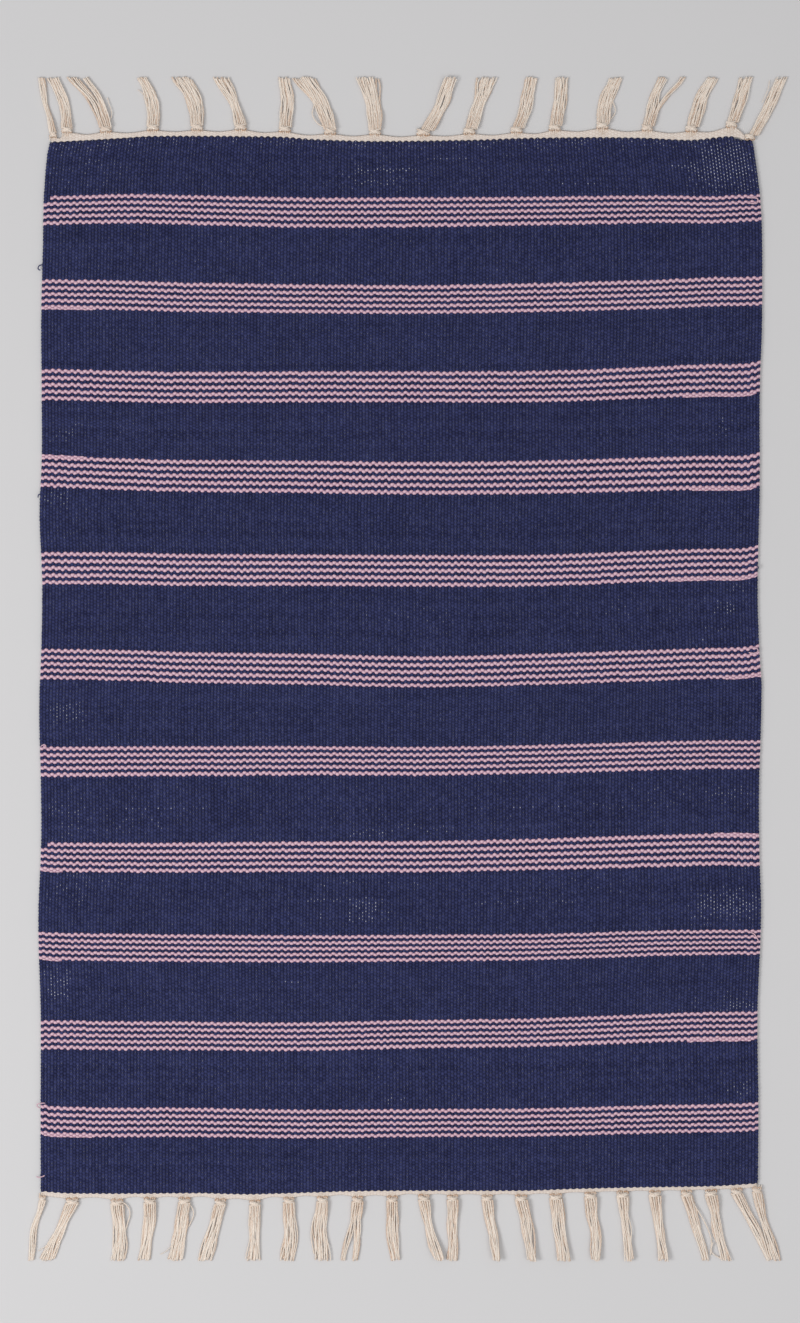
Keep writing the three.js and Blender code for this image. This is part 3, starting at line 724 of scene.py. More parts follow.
def cloth_material(settings):
    """Navy weft-faced weave with its pink lines, and the cream warp in its thin places."""
    material, sketch, shader = surface("kilim_weave")
    weave = sketch.weave_map()
    column = sketch.noise(sketch.vector("MULTIPLY", weave, (1.0, 0.06, 1.0)), 0.55)
    pulled = sketch.vector("ADD", weave, sketch.add("ShaderNodeCombineXYZ", {"Y": (column - 0.5) * 1.6}))
    at = sketch.use(weave_float(), Weave=pulled)
    warp, pick, joint, edge = at["Warp"], at["Pick"], at["Joint"], at["Edge"]
    own_pink = sketch.use(stripe_lines(), Warp=warp, Pick=pick)["Pink"]
    next_pink = sketch.use(stripe_lines(), Warp=warp, Pick=joint)["Pink"]
    under = at["Gap"].calc("GREATER_THAN", 0.5)
    along = sketch.add("ShaderNodeSeparateXYZ", {0: pulled}, "Y")
    doubled = sketch.use(doubled_lines(), Warp=warp, Along=along)["Pink"]
    pink = ((next_pink - own_pink) * under + own_pink).calc("MAXIMUM", doubled)

    patch = sketch.noise(weave, 0.06, 3.0, 0.6)
    fibre = sketch.use(cotton_fibre(), Vector=weave, Stretch=(0.9, 8.0, 1.0))
    # The weft's lightness: its own tones at random, with painted highlight on the middle of each warp and on
    # each float's dome.
    light = weighed(
        WEFT_LIGHT,
        own=sketch.random(warp, pick, 3.0).calc("POWER", 2.0),
        ridge=1.0 - edge,
        dome=at["Dome"],
        row=sketch.random(pick, 11.0, 5.0) - 0.5,
        patch=patch - 0.5,
        column=column - 0.5,
        fibre=fibre["Share"] - 0.5,
    ).clamped()
    navy = sketch.mix(light, settings.navy, settings.navy_light)
    # Painted highlight in the middle of each pink float, and painted shade towards its ends.
    bright = ((light - 0.45) * 0.6 + abs(at["Along"]).ramp(0.2, 0.95, 1.0, 0.0)).clamped()
    rose = sketch.mix(bright, shaded(settings.pink, PINK_DUSK), settings.pink)
    weft = sketch.mix(pink, navy, rose)
    # Painted shade: the gaps between the floats are darkened almost to black.
    weft = sketch.mix(at["Gap"] * (pink * -0.2 + 0.35), weft, WEFT_GAP)

    loose = sketch.use(thin_rows(), Warp=warp, Pick=joint)["Share"]
    thin = sketch.painted("thin").calc("MAXIMUM", loose)
    in_thin, in_patch, anywhere = WARP_CHANCE
    chance = thin * in_thin + (patch.ramp(0.5, 0.68) * in_patch + anywhere)
    shows = sketch.random(warp, joint, 7.0).calc("LESS_THAN", chance)
    away = 1.0 - abs(at["Along"])
    spot = (edge * 1.6 + away * away).ramp(0.02, 0.26, 1.0, 0.0)
    faint = sketch.random(warp, joint, 13.0).calc("POWER", 2.0) * WARP_FAINT
    strong = (sketch.random(joint, warp, 17.0) * 0.7 + 0.15) * (thin + 0.35)
    speck = faint.calc("MAXIMUM", shows * strong) * spot * (1.0 - pink * 0.8)
    colour = sketch.mix(speck, weft, settings.warp)
    height = fibre["Height"] * 0.22 + at["Dome"]
    cotton(sketch, shader, colour, height, (0.8, 0.9), fibre["Share"], (0.8, 0.95), 0.08)
    return material


def heading_material(settings):
    """Cream plain weave of the headings, with painted highlight on its floats, painted shade in their gaps,
    brown stains here and there, and painted shade in brown streaks by the knots.
    """
    material, sketch, shader = surface("heading_weave")
    weave = sketch.weave_map()
    at = sketch.use(weave_float(), Weave=weave, Wave=0.1, Pinch=0.5)
    fibre = sketch.use(cotton_fibre(), Vector=weave, Stretch=(0.7, 9.0, 1.0))
    own = sketch.random(at["Warp"], at["Pick"], 2.0)
    # Painted highlight on each float's dome, with the yarn's own tone and fibres.
    light = weighed(HEADING_LIGHT, own=own, dome=at["Dome"], fibre=fibre["Share"] - 0.5).clamped()
    colour = sketch.mix(light, shaded(settings.cream, CREAM_DULL), settings.cream)
    # Painted shade in the gaps between the floats.
    colour = sketch.mix(at["Gap"] * 0.28, colour, shaded(settings.cream, CREAM_GAP))
    stain = sketch.noise(weave, 0.18, 4.0, 0.7).ramp(0.6, 0.75) * 0.35
    streak = fibre["Share"].ramp(0.2, 0.7, 1.0, 0.35)
    # Brown: stains at random, and painted shade in streaks by the knots.
    brown = (sketch.painted("knot") * streak * 0.75 + stain).clamped()
    colour = sketch.mix(brown, colour, shaded(settings.cream, CREAM_BROWN))
    height = fibre["Height"] * 0.3 + at["Dome"]
    cotton(sketch, shader, colour, height, (0.5, 0.4), fibre["Share"], (0.82, 0.95))
    return material


def yarn_material(name, light, dark):
    """Plied cotton: streaked along its fibres, with painted shade where its plies meet and on yarns that lie
    under others, and each yarn lighter or darker at random.
    """
    material, sketch, shader = surface(name)
    course = sketch.painted("course", "Vector")
    fibre = sketch.use(cotton_fibre(), Vector=course, Stretch=(700.0, 9.0, 13.0))
    # Painted shade where the plies meet and on yarns under others, with each yarn's own tone, its fibres and
    # grime.
    shade = weighed(
        YARN_SHADE,
        crease=sketch.painted("crease"),
        tone=sketch.painted("tone"),
        fibre=fibre["Share"] - 0.5,
        grime=sketch.noise(course, 60.0, 2.0, 0.6) - 0.5,
    ).clamped()
    colour = sketch.mix(shade, light, dark)
    cotton(sketch, shader, colour, fibre["Height"], (0.5, 0.2), fibre["Share"], (0.8, 0.95), 0.1)
    return material


# Geometry Nodes trees


@node_group(
    "Woven Relief",
    "Geometry",
    {
        "Geometry": "Geometry",
        "Rib Height": 0.0004,
        "Float Height": 0.0,
        "Unevenness": 0.0,
        "Wave Scale": 9.0,
        "Seed": 4.0,
        "Material": "Material",
    },
    ("Geometry",),
)
def woven_relief(sketch, given):
    """Raises a closed sheet's warps and floats, and lets it wave a little as it lies."""
    warp, pick, face = (sketch.field(name) for name in ("warp", "pick", "face"))
    swing = (warp * math.pi).calc("SINE")
    drop = (abs(swing) - 1.0) * given["Rib Height"]
    over = swing * (pick * math.pi).calc("COSINE") * given["Float Height"]
    place = sketch.add("GeometryNodeInputPosition")
    values = {"Vector": place, "W": given["Seed"], "Scale": given["Wave Scale"], "Detail": 2.0}
    noise = sketch.add("ShaderNodeTexNoise", values, noise_dimensions="4D")
    lift = (noise - 0.6) * given["Unevenness"] * face.calc("MAXIMUM", 0.0)
    offset = sketch.add("ShaderNodeCombineXYZ", {"Z": (drop + over) * face + lift})
    moved = sketch.add("GeometryNodeSetPosition", {"Geometry": given["Geometry"], "Offset": offset})
    return sketch.finished(moved, given["Material"])


@node_group(
    "Plied Yarn",
    "Geometry",
    {
        "Geometry": "Geometry",
        "Step": 0.0012,
        "Twist": 0.008,
        "Waist": YARN_WAIST,
        "Sides": 8,
        "Material": "Material",
    },
    ("Geometry",),
)
def plied_yarn(sketch, given):
    """Sweeps a two-ply section, turning as it goes, along every run of edges in a mesh."""
    curve = sketch.add("GeometryNodeMeshToCurve", {"Mesh": given["Geometry"]})
    curve = sketch.add("GeometryNodeCurveSplineType", {"Curve": curve}, spline_type="CATMULL_ROM")
    curve = sketch.add("GeometryNodeSetSplineResolution", {0: curve, "Resolution": 8})
    curve = sketch.add("GeometryNodeResampleCurve", {"Curve": curve, "Length": given["Step"]}, mode="LENGTH")
    length, factor = sketch.add("GeometryNodeSplineParameter", get=("Length", "Factor"))
    turn = length * (2 * math.pi) / given["Twist"] + sketch.field("strand") * 2.4
    curve = sketch.add("GeometryNodeSetCurveTilt", {"Curve": curve, "Tilt": turn})
    curve = sketch.store(curve, "along", length)

    circle = sketch.add("GeometryNodeCurvePrimitiveCircle", {"Resolution": given["Sides"], "Radius": 1.0})
    lobe = abs((factor * (2 * math.pi)).calc("COSINE"))
    reach = given["Waist"] + lobe * (1.0 - given["Waist"])
    section = sketch.vector("SCALE", sketch.add("GeometryNodeInputPosition"), reach)
    # Where the plies meet, which the material paints with shade.
    circle = sketch.store(circle, "crease", 1.0 - lobe)
    circle = sketch.store(circle, "around", factor)
    circle = sketch.add("GeometryNodeSetPosition", {"Geometry": circle, "Position": section})
    values = {"Curve": curve, "Profile Curve": circle, "Scale": sketch.field("size"), "Fill Caps": True}
    return sketch.finished(sketch.add("GeometryNodeCurveToMesh", values), given["Material"])


@node_group(
    "Selvedge Turns",
    "Geometry",
    {
        "Geometry": "Geometry",
        "Half Size": (0.001, 0.0014, 0.0013),
        "Unevenness": 0.12,
        "Seed": 7,
        "Material": "Material",
    },
    ("Geometry",),
)
def selvedge_turns(sketch, given):
    """A rounded turn of weft at every point of a mesh, each carrying its warp and its pick."""
    ball = sketch.add("GeometryNodeMeshUVSphere", {"Segments": 8, "Rings": 6, "Radius": 1.0})
    ball = sketch.store(ball, "local", sketch.add("GeometryNodeInputPosition"), "FLOAT_VECTOR")
    draws = {2: 1.0 - given["Unevenness"], 3: given["Unevenness"] + 1.0, "Seed": given["Seed"]}
    draw = sketch.add("FunctionNodeRandomValue", draws, 1, data_type="FLOAT")
    size = sketch.vector("SCALE", given["Half Size"], draw)
    values = {"Points": given["Geometry"], "Instance": ball, "Scale": size}
    return sketch.finished(sketch.add("GeometryNodeInstanceOnPoints", values), given["Material"])


def shape_with(base, tree, values):
    """Runs a Geometry Nodes tree on a base mesh and keeps the result as an object of the same name."""
    name = base.name
    source = bpy.data.objects.new(f"{name}_base", base)
    bpy.context.scene.collection.objects.link(source)
    modifier = source.modifiers.new("Shape", "NODES")
    modifier.node_group = tree
    for item in tree.interface.items_tree:
        if item.item_type == "SOCKET" and item.in_out == "INPUT" and item.name in values:
            modifier[item.identifier] = values[item.name]
    graph = bpy.context.evaluated_depsgraph_get()
    mesh = bpy.data.meshes.new_from_object(
        source.evaluated_get(graph), preserve_all_data_layers=True, depsgraph=graph
    )
    source.modifiers.remove(modifier)
    bpy.data.objects.remove(source)
    bpy.data.meshes.remove(base)
    mesh.name = name
    piece = bpy.data.objects.new(name, mesh)
    bpy.context.scene.collection.objects.link(piece)
    if not mesh.polygons:
        raise RuntimeError(f"{name} came out empty")
    return piece


# Shared shapes


def smooth(rows, at):
    """A table's value at places between its rows, on a smooth curve through them."""
    place, value = np.array(rows, float).T
    slope = np.gradient(value, place)
    slope[1:-1] = (value[2:] - value[:-2]) / (place[2:] - place[:-2])
    at = np.asarray(at, float)
    i = np.clip(np.searchsorted(place, at) - 1, 0, len(place) - 2)
    run = place[i + 1] - place[i]
    t = np.clip((at - place[i]) / run, 0, 1)
    keep = (1 + 2 * t) * (1 - t) ** 2
    leave = t * (1 - t) ** 2 * run * slope[i]
    reach = t**2 * (t - 1) * run * slope[i + 1]
    return keep * value[i] + (1 - keep) * value[i + 1] + leave + reach


def smoothstep(t, low, high):
    """A smooth rise from 0 to 1."""
    s = np.clip((np.asarray(t, float) - low) / (high - low), 0, 1)
    return s * s * (3 - 2 * s)


def frame_shift():
    """How far the rug is moved across, so that it is centred as the solids are."""
    reach = smooth(LEFT_SIDE, np.linspace(LEFT_SIDE[-1][0], LEFT_SIDE[0][0], 45)).max()
    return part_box("rug_body")[0].x / MM + reach


def sides(along):
    """Where the left and the right selvedge lie."""
    return -smooth(LEFT_SIDE, along), smooth(RIGHT_SIDE, along)


def warp_at(across, along):
    """The warp coordinate of a point, from 0 at the left selvedge."""
    left, right = sides(along)
    return (across - left) / (right - left) * WARPS


def mean_out(rows):
    """How far a woven end stands out on average."""
    return np.mean([out for _, out in rows])


def total_picks():
    """Picks in the whole cloth."""
    return 2 * round((mean_out(BOTTOM_END) + mean_out(TOP_END)) / PICK / 2)


def group_starts():
    """The first pick of each stripe group, from the top group down, counted from the bottom end."""
    starts = []
    for row in STRIPE_GROUPS:
        lowest = np.mean(row[3:]) - GROUP_PICKS / 2 * row[1] / (2 * LINE_PICKS)
        starts.append(4 * round((lowest + mean_out(BOTTOM_END)) / PICK / 4))
    return starts


def pick_rows(across):
    """For one place across the rug: where known picks lie along it, and their numbers, from the bottom up."""
    along, picks = [-float(smooth(BOTTOM_END, across))], [0.0]
    for row, start in reversed(list(zip(STRIPE_GROUPS, group_starts()))):
        middle = float(smooth(list(zip(STRIPE_PLACES, row[3:])), across))
        pitch = float(np.interp(across, (STRIPE_PLACES[0], 0.0, STRIPE_PLACES[-1]), row[:3]))
        reach = GROUP_PICKS / 2 * pitch / (2 * LINE_PICKS)
        along += [middle - reach, middle + reach]
        picks += [start, start + GROUP_PICKS]
    return along + [float(smooth(TOP_END, across))], picks + [total_picks()]


def give_values(mesh, values):
    """Gives a mesh's points named numbers."""
    for key, value in values.items():
        mesh.attributes.new(key, "FLOAT", "POINT").data.foreach_set("value", np.asarray(value, np.float32))


def give_map(mesh, name, places):
    """Gives a mesh a UV map, with a place for each corner of its faces."""
    mesh.uv_layers.new(name=name).data.foreach_set("uv", places.astype(np.float32).ravel())


def read_values(mesh, name, width=1):
    """The numbers, or the vectors, that a mesh's points carry."""
    values = np.zeros(len(mesh.vertices) * width, np.float32)
    mesh.attributes[name].data.foreach_get("value" if width == 1 else "vector", values)
    return values if width == 1 else values.reshape(-1, width)


def face_corners(mesh):
    """The point at each corner of a mesh's faces."""
    corners = np.zeros(len(mesh.loops), np.int32)
    mesh.loops.foreach_get("vertex_index", corners)
    return corners


def border(rows, columns):
    """The rows and columns of the grid points round a sheet's rim, anticlockwise from its first corner."""
    ring = [(0, c) for c in range(columns)]
    ring += [(r, columns - 1) for r in range(1, rows)]
    ring += [(rows - 1, c) for c in range(columns - 2, -1, -1)]
    ring += [(r, 0) for r in range(rows - 2, 0, -1)]
    return tuple(np.array(ring).T)


def closed_sheet(name, outline, low, high, weave, extra):
    """A closed sheet from a grid of places: its faces drawn in from the outline, and a rounded rim."""
    rows, columns = outline.shape[:2]
    ring = border(rows, columns)
    around = outline[ring]
    along = np.roll(around, -1, 0) - np.roll(around, 1, 0)
    inward = np.stack([-along[:, 1], along[:, 0]], 1)
    inset = outline.copy()
    inset[ring] += inward / np.linalg.norm(inward, axis=1)[:, None] * RIM_INSET
    on_rim = np.zeros((rows, columns), bool)
    on_rim[ring] = True
    middle, half = (high + low) / 2, (high - low) / 2
    lift = np.where(on_rim, half * RIM_FLAT, half)
    top = np.dstack([inset, middle + lift]).reshape(-1, 3)
    under = np.dstack([inset, middle - lift]).reshape(-1, 3)
    rim = np.column_stack([around, np.full(len(around), middle)])
    points = np.vstack([top, under, rim]) * MM

    count = rows * columns
    index = np.arange(count).reshape(rows, columns)
    quads = np.stack([index[:-1, :-1], index[:-1, 1:], index[1:, 1:], index[1:, :-1]], -1).reshape(-1, 4)
    inner = index[ring]
    after = np.roll(inner, -1)
    outer = 2 * count + np.arange(len(inner))
    outer_after = np.roll(outer, -1)
    upper = np.stack([outer, outer_after, after, inner], -1)
    lower = np.stack([inner + count, after + count, outer_after, outer], -1)
    faces = np.vstack([quads, quads[:, ::-1] + count, upper, lower])
    mesh = bpy.data.meshes.new(name)
    mesh.from_pydata(points.tolist(), [], faces.tolist())

    flat = weave.reshape(-1, 2)
    woven = np.vstack([flat, flat, flat[inner]])
    facing = np.where(on_rim.ravel(), RIM_FACING, 1.0)
    facing = np.concatenate([facing, -facing, np.zeros(len(inner))])
    values = {"warp": woven[:, 0], "pick": woven[:, 1], "face": facing}
    for key, grid in extra.items():
        values[key] = np.concatenate([grid.ravel(), grid.ravel(), grid[ring]])
    give_values(mesh, values)

    corners = faces.ravel()
    give_map(mesh, "Weave", woven[corners])
    across, up = np.linspace(MAP_EDGE, 0.5 - MAP_EDGE, columns), np.linspace(MAP_EDGE, 1 - MAP_EDGE, rows)
    sheet = np.stack(np.meshgrid(across, up), -1).reshape(-1, 2)
    centre = np.array([0.25, 0.5])
    edge = centre + (sheet[inner] - centre) * MAP_RIM
    bake = np.vstack([sheet, sheet + (0.5, 0.0), edge])[corners]
    last = slice(-lower.size, None)
    bake[last][corners[last] >= 2 * count] += (0.5, 0.0)
    give_map(mesh, "OFBake", bake)
    mesh.validate()
    return mesh


def finish_piece(piece, slot, *nodes):
    """Lets a finished piece ride on the rug and stand for its solids; its slot is not used."""
    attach(piece, "root")
    if nodes:
        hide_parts(*nodes)


def cloth_grid():
    """Places, warps and picks of the cloth's grid, with its thin places."""
    warps = np.linspace(0, WARPS, 2 * WARPS + 1)
    total = total_picks()
    inner = np.linspace(END_ROW / PICK, total - END_ROW / PICK, CLOTH_ROWS - 1)
    picks = np.concatenate([[0.0], inner, [total]])
    bottom = SCALLOPS[0] * (np.abs(np.sin(math.pi * (warps + 0.5) / 2)) - 0.5)
    top = SCALLOPS[1] * (np.abs(np.sin(math.pi * (warps - 0.5) / 2)) - 0.5)
    grid = np.zeros((len(picks), len(warps), 2))
    weave = np.zeros_like(grid)
    for c, share in enumerate(warps / WARPS):
        moved = picks.copy()
        moved[0] -= bottom[c]
        moved[-1] += top[c]
        across = np.full(len(picks), (share - 0.5) * CLOTH_WIDTH)
        for _ in range(2):
            places, numbers = pick_rows(float(across.mean()))
            along = np.interp(moved, numbers, places)
            along = np.where(moved < 0, places[0] + moved * PICK, along)
            along = np.where(moved > total, places[-1] + (moved - total) * PICK, along)
            left, right = sides(along)
            across = left + (right - left) * share
        grid[:, c] = np.column_stack([across, along])
        weave[:, c] = np.column_stack([np.full(len(picks), warps[c]), moved])
    from_end = (total - weave[..., 1]) * PICK
    thin = 0.5 * np.clip(1.5 - from_end / END_THIN, 0, 1)
    for x, y, wide, long, strength in THIN_PLACES:
        reach = np.maximum(np.abs(grid[..., 0] - x) / wide, np.abs(grid[..., 1] - y) / long)
        thin = np.maximum(thin, strength * np.clip(1.6 - reach, 0, 1))
    return grid, weave, thin


def selvedge_points(name, column, grid, weave, thickness):
    """Points along one selvedge where the weft turns, each with its warp and pick, as a mesh of points."""
    warp, inward = (0, 1) if column == 0 else (WARPS - 1, -1)
    picks = np.arange(2 + warp % 2, total_picks() - 1, TURN_STEP)
    across, along = (np.interp(picks, weave[:, column, 1], grid[:, column, axis]) for axis in (0, 1))
    across += inward * TURN_INSET + frame_shift()
    mesh = bpy.data.meshes.new(name)
    mesh.from_pydata((np.column_stack([across, along, 0 * across + thickness / 2]) * MM).tolist(), [], [])
    give_values(mesh, {"warp": 0 * picks + warp + 0.5, "pick": picks})
    return mesh


def map_turns(mesh):
    """Gives the turns the weave's own map, so that each takes the colour of its pick."""
    warp, pick, local = read_values(mesh, "warp"), read_values(mesh, "pick"), read_values(mesh, "local", 3)
    corners = face_corners(mesh)
    weave = np.column_stack([warp, pick]) + local[:, [2, 1]] * TURN_REACH
    give_map(mesh, "Weave", weave[corners])
    row = (pick - pick.min()) / TURN_STEP
    columns = math.ceil(math.sqrt(row.max() + 1))
    cell = np.column_stack([row % columns, row // columns])
    give_map(mesh, "OFBake", ((cell + 0.5 + 0.42 * local[:, 1:]) / columns)[corners])


def heading_widths(fringe):
    """A heading's width at its ends, at each knot and halfway between two knots."""
    first, last = fringe.start + HEADING_END, fringe.stop - HEADING_END
    rows = [(t.x, t.out - KNOT_DEPTH / 2 - PIECE_GAP) for t in fringe.tassels if first < t.x < last]
    between = [
        ((a[0] + b[0]) / 2, max(min(a[1], b[1]) - HEADING_DIP, HEADING_LEAST)) for a, b in zip(rows, rows[1:])
    ]
    return sorted(rows + between + [(fringe.start, fringe.start_width), (fringe.stop, fringe.stop_width)])


def heading_grid(fringe):
    """Places, warps and picks of a heading's grid, and the painted shade at each place, which grows by the
    knots and towards the heading's outer edge.
    """
    start, stop, side = fringe.start, fringe.stop, fringe.side
    middle = side * smooth(fringe.woven, [start, stop]).mean()
    first, last = (float(warp_at(x, middle)) for x in (start, stop))
    steps = np.arange(math.ceil(2 * first), math.floor(2 * last) + 1) / 2
    warps = np.concatenate([[first], steps, [last]]) if steps[0] > first else steps
    across = start + (warps - warps[0]) / (warps[-1] - warps[0]) * (stop - start)
    share = np.linspace(0, 1, 2 * HEADING_PICKS + 1)[:, None]
    inner = smooth(fringe.woven, across) - HEADING_TUCK
    outer = smooth(fringe.woven, across) + PIECE_GAP + smooth(heading_widths(fringe), across)
    out = inner + (outer - inner) * share
    grid = np.dstack([np.broadcast_to(across, out.shape), side * out])
    weave = np.dstack([np.broadcast_to(warps, out.shape), np.broadcast_to(share * HEADING_PICKS, out.shape)])
    near = np.zeros(out.shape)
    for tassel in fringe.tassels:
        beside = np.exp(-(((across - tassel.x) / (KNOT_SHADE_REACH * tassel.knot)) ** 2))
        near = np.maximum(near, beside * share)
    order = slice(None, None, side)
    return grid[order], weave[order], near[order]


# Yarns


def hermite(root, half, tip, t):
    """A smooth path through three points, at shares t of its length."""
    t = t[:, None]
    first = t <= 0.5
    a, b = np.where(first, root, half), np.where(first, half, tip)
    leave = np.where(first, half - root, (tip - root) / 2)
    arrive = np.where(first, (tip - root) / 2, tip - half)
    s = np.where(first, 2 * t, 2 * t - 1)
    ends = a * (1 + 2 * s) * (1 - s) ** 2 + b * s**2 * (3 - 2 * s)
    return ends + leave * s * (1 - s) ** 2 + arrive * s**2 * (s - 1)


class YarnPaths:
    """Runs of points that become yarns, with each yarn's size and its darkness, its own or painted shade."""

    def __init__(self):
        self.runs = []

    def add(self, points, size, tone):
        """Adds one yarn. Its points and its size are in millimetres."""
        self.runs.append((np.asarray(points, float), size, tone))

    def mesh(self, name):
        """The runs as a mesh of edges."""
        lengths = [len(points) for points, _, _ in self.runs]
        points = np.vstack([points for points, _, _ in self.runs])
        points[:, 0] += frame_shift()
        ends = np.cumsum(lengths)
        edges = [(i, i + 1) for i in range(len(points) - 1) if i + 1 not in ends]
        mesh = bpy.data.meshes.new(name)
        mesh.from_pydata((points * MM).tolist(), edges, [])
        sizes = [size / 2 * MM for _, size, _ in self.runs]
        values = {"size": sizes, "tone": [tone for _, _, tone in self.runs], "strand": range(len(lengths))}
        give_values(mesh, {key: np.repeat(list(value), lengths) for key, value in values.items()})
        return mesh


def yarn_piece(name, paths, material, settings):
    """Yarns along the paths, as one piece with its own maps."""
    values = {"Step": settings.step, "Twist": settings.twist, "Waist": YARN_WAIST, "Material": material}
    piece = shape_with(paths.mesh(name), plied_yarn(), values)
    map_yarns(piece.data, len(paths.runs))
    return piece


def map_yarns(mesh, strands):
    """Gives each yarn its own strip of the bake map, and a course that the material follows."""
    along, around, strand = (read_values(mesh, key) for key in ("along", "around", "strand"))
    corners = face_corners(mesh)
    starts = np.zeros(len(mesh.polygons), np.int32)
    mesh.polygons.foreach_get("loop_start", starts)
    face = np.repeat(np.arange(len(starts)), np.diff(np.append(starts, len(corners))))
    turn = around[corners]
    widest = np.zeros(len(starts))
    np.maximum.at(widest, face, turn)
    turn = np.where((widest[face] > 0.8) & (turn < 0.3), turn + 1, turn)
    across = (strand[corners] + 0.04 + 0.92 * turn) / strands
    give_map(mesh, "OFBake", np.column_stack([0.01 + 0.98 * along[corners] / along.max(), across]))
    angle = around * 2 * math.pi
    course = np.column_stack([along, np.cos(angle) + 3.1 * strand, np.sin(angle) + 1.7 * strand])
    made = mesh.attributes.new("course", "FLOAT_VECTOR", "POINT")
    made.data.foreach_set("vector", course.astype(np.float32).ravel())


def knot_height(width):
    """A knot's height for its width."""
    return KNOT_HEIGHT * math.sqrt(min(width / FULL_KNOT, 1))


def knot_place(fringe, tassel):
    """How far a knot's middle stands out from the rug's middle."""
    return float(smooth(fringe.woven, tassel.x)) + tassel.out


def wave(rng, times, size, turns):
    """A slow wave along a yarn, of a random size and a random number of turns."""
    return rng.uniform(*size) * np.sin(times * rng.uniform(*turns) + rng.uniform(0, 6.3))


def lock_place(share, lock):
    """Where a yarn of a bundle ends if it belongs to the lock that parts from it, or else None."""
    part, end, width = lock
    if part < 0 and share < -part:
        return end + (2 * share / -part - 1) * width / 2
    if part > 0 and share > 1 - part:
        return end + (2 * (share - 1) / part + 1) * width / 2
    return None


def tassel_yarns(paths, fringe, tassel, name, settings, rng):
    """The bundle's yarns, from inside the knot to their cut ends, in two loose layers."""
    side, mid = fringe.side, tassel.mid
    thick = settings.diameter / MM
    width = (tassel.wide + tassel.fan) / 2
    count = int(np.clip(settings.yarns * width / FULL_BUNDLE, LEAST_YARNS, MOST_YARNS))
    times = np.linspace(0, 1, YARN_POINTS)
    order = np.linspace(-1, 1, count)
    tip_order = order + rng.normal(0, TIP_DISORDER, count)
    tip_order -= tip_order.mean()
    opening, closing = smoothstep(times, *OPENING), smoothstep(times, *CLOSING)
    root_half = tassel.knot / 2 * KNOT_SPREAD
    bundle = root_half + (tassel.wide / 2 - root_half) * opening
    bundle = bundle + (tassel.fan / 2 - bundle) * closing - thick / 2
    drift = wave(rng, times, DRIFT, DRIFT_TURNS) * opening * (1 - closing)
    bows = rng.normal(0, BOW, count)
    root_x = tassel.x + fringe.leave * max(mid - tassel.x, 0.0)
    root = np.array([root_x, side * (knot_place(fringe, tassel) + 1)])
    half = np.array([mid, (root[1] + side * FRINGE_END) / 2])
    for i, across in enumerate(order):
        upper = i % 2 == 1
        tip = np.array([tassel.end, side * (FRINGE_END - rng.uniform(0, TRIM_MOST))])
        path = hermite(root, half, tip, times)
        path[:, 0] += (across + (tip_order[i] - across) * closing) * bundle
        place = lock_place((across + 1) / 2, STRAYS[name]) if name in STRAYS else None
        if place is not None:
            path[:, 0] += (place - path[-1, 0]) * smoothstep(times, *PARTING)
        path[:, 0] += wave(rng, times, SWAY, SWAY_TURNS) * opening
        path[:, 0] += drift + bows[i] * np.sin(math.pi * times)
        level = thick * (UPPER_LEVEL if upper else LOWER_LEVEL) + rng.uniform(*LEVEL_RANGE)
        root_level = knot_height(tassel.knot) * ROOT_LEVELS[i % 3]
        size = thick * rng.uniform(*SIZE_RANGE) * (UPPER_SIZE if upper else LOWER_SIZE)
        rest = smoothstep(times, *SETTLING)
        z = root_level + (level - root_level) * rest + RIPPLE * opening * (1 + np.sin(times * 7 + i))
        z = np.maximum(z, size / 2) + LIFTED.get(name, 0.0) * times**2
        # Lower yarns are painted darker, as shade under the upper ones.
        paths.add(np.column_stack([path, z]), size, rng.uniform(*(UPPER_TONE if upper else LOWER_TONE)))
    for label, size, places in WISPS:
        if label == name:
            paths.add(np.column_stack([places, np.linspace(*WISP_LEVELS, len(places))]), size, LOOSE_TONE)


def knot_wraps(paths, fringe, tassel, settings, rng):
    """The knot: yarns that lie over it slantwise from side to side, with one across them."""
    thick = settings.diameter / MM * WRAP_SIZE
    rise = knot_place(fringe, tassel)
    high = knot_height(tassel.knot) - thick / 2
    half = tassel.knot / 2 * KNOT_SPREAD - thick / 2
    lean = rng.choice([-1, 1])
    angles = np.linspace(-WRAP_TUCK, math.pi + WRAP_TUCK, 11)
    wraps = [(place, WRAP_SLOPE, 0.0) for place in np.linspace(*WRAP_PLACES)] + [CROSS_WRAP]
    for place, slope, above in wraps:
        bulge = 1 - KNOT_TAPER * (2 * place) ** 2
        run = fringe.side * (rise + place * (WRAP_DEPTH - thick))
        run = run + slope * lean * (1 - abs(place)) * np.cos(angles)
        across = tassel.x + half * bulge**0.5 * np.cos(angles)
        z = WRAP_FOOT + (high * bulge**0.35 - WRAP_FOOT) * np.sin(angles) + above
        paths.add(np.column_stack([across, run, np.maximum(z, thick / 2)]), thick, rng.uniform(*WRAP_TONE))


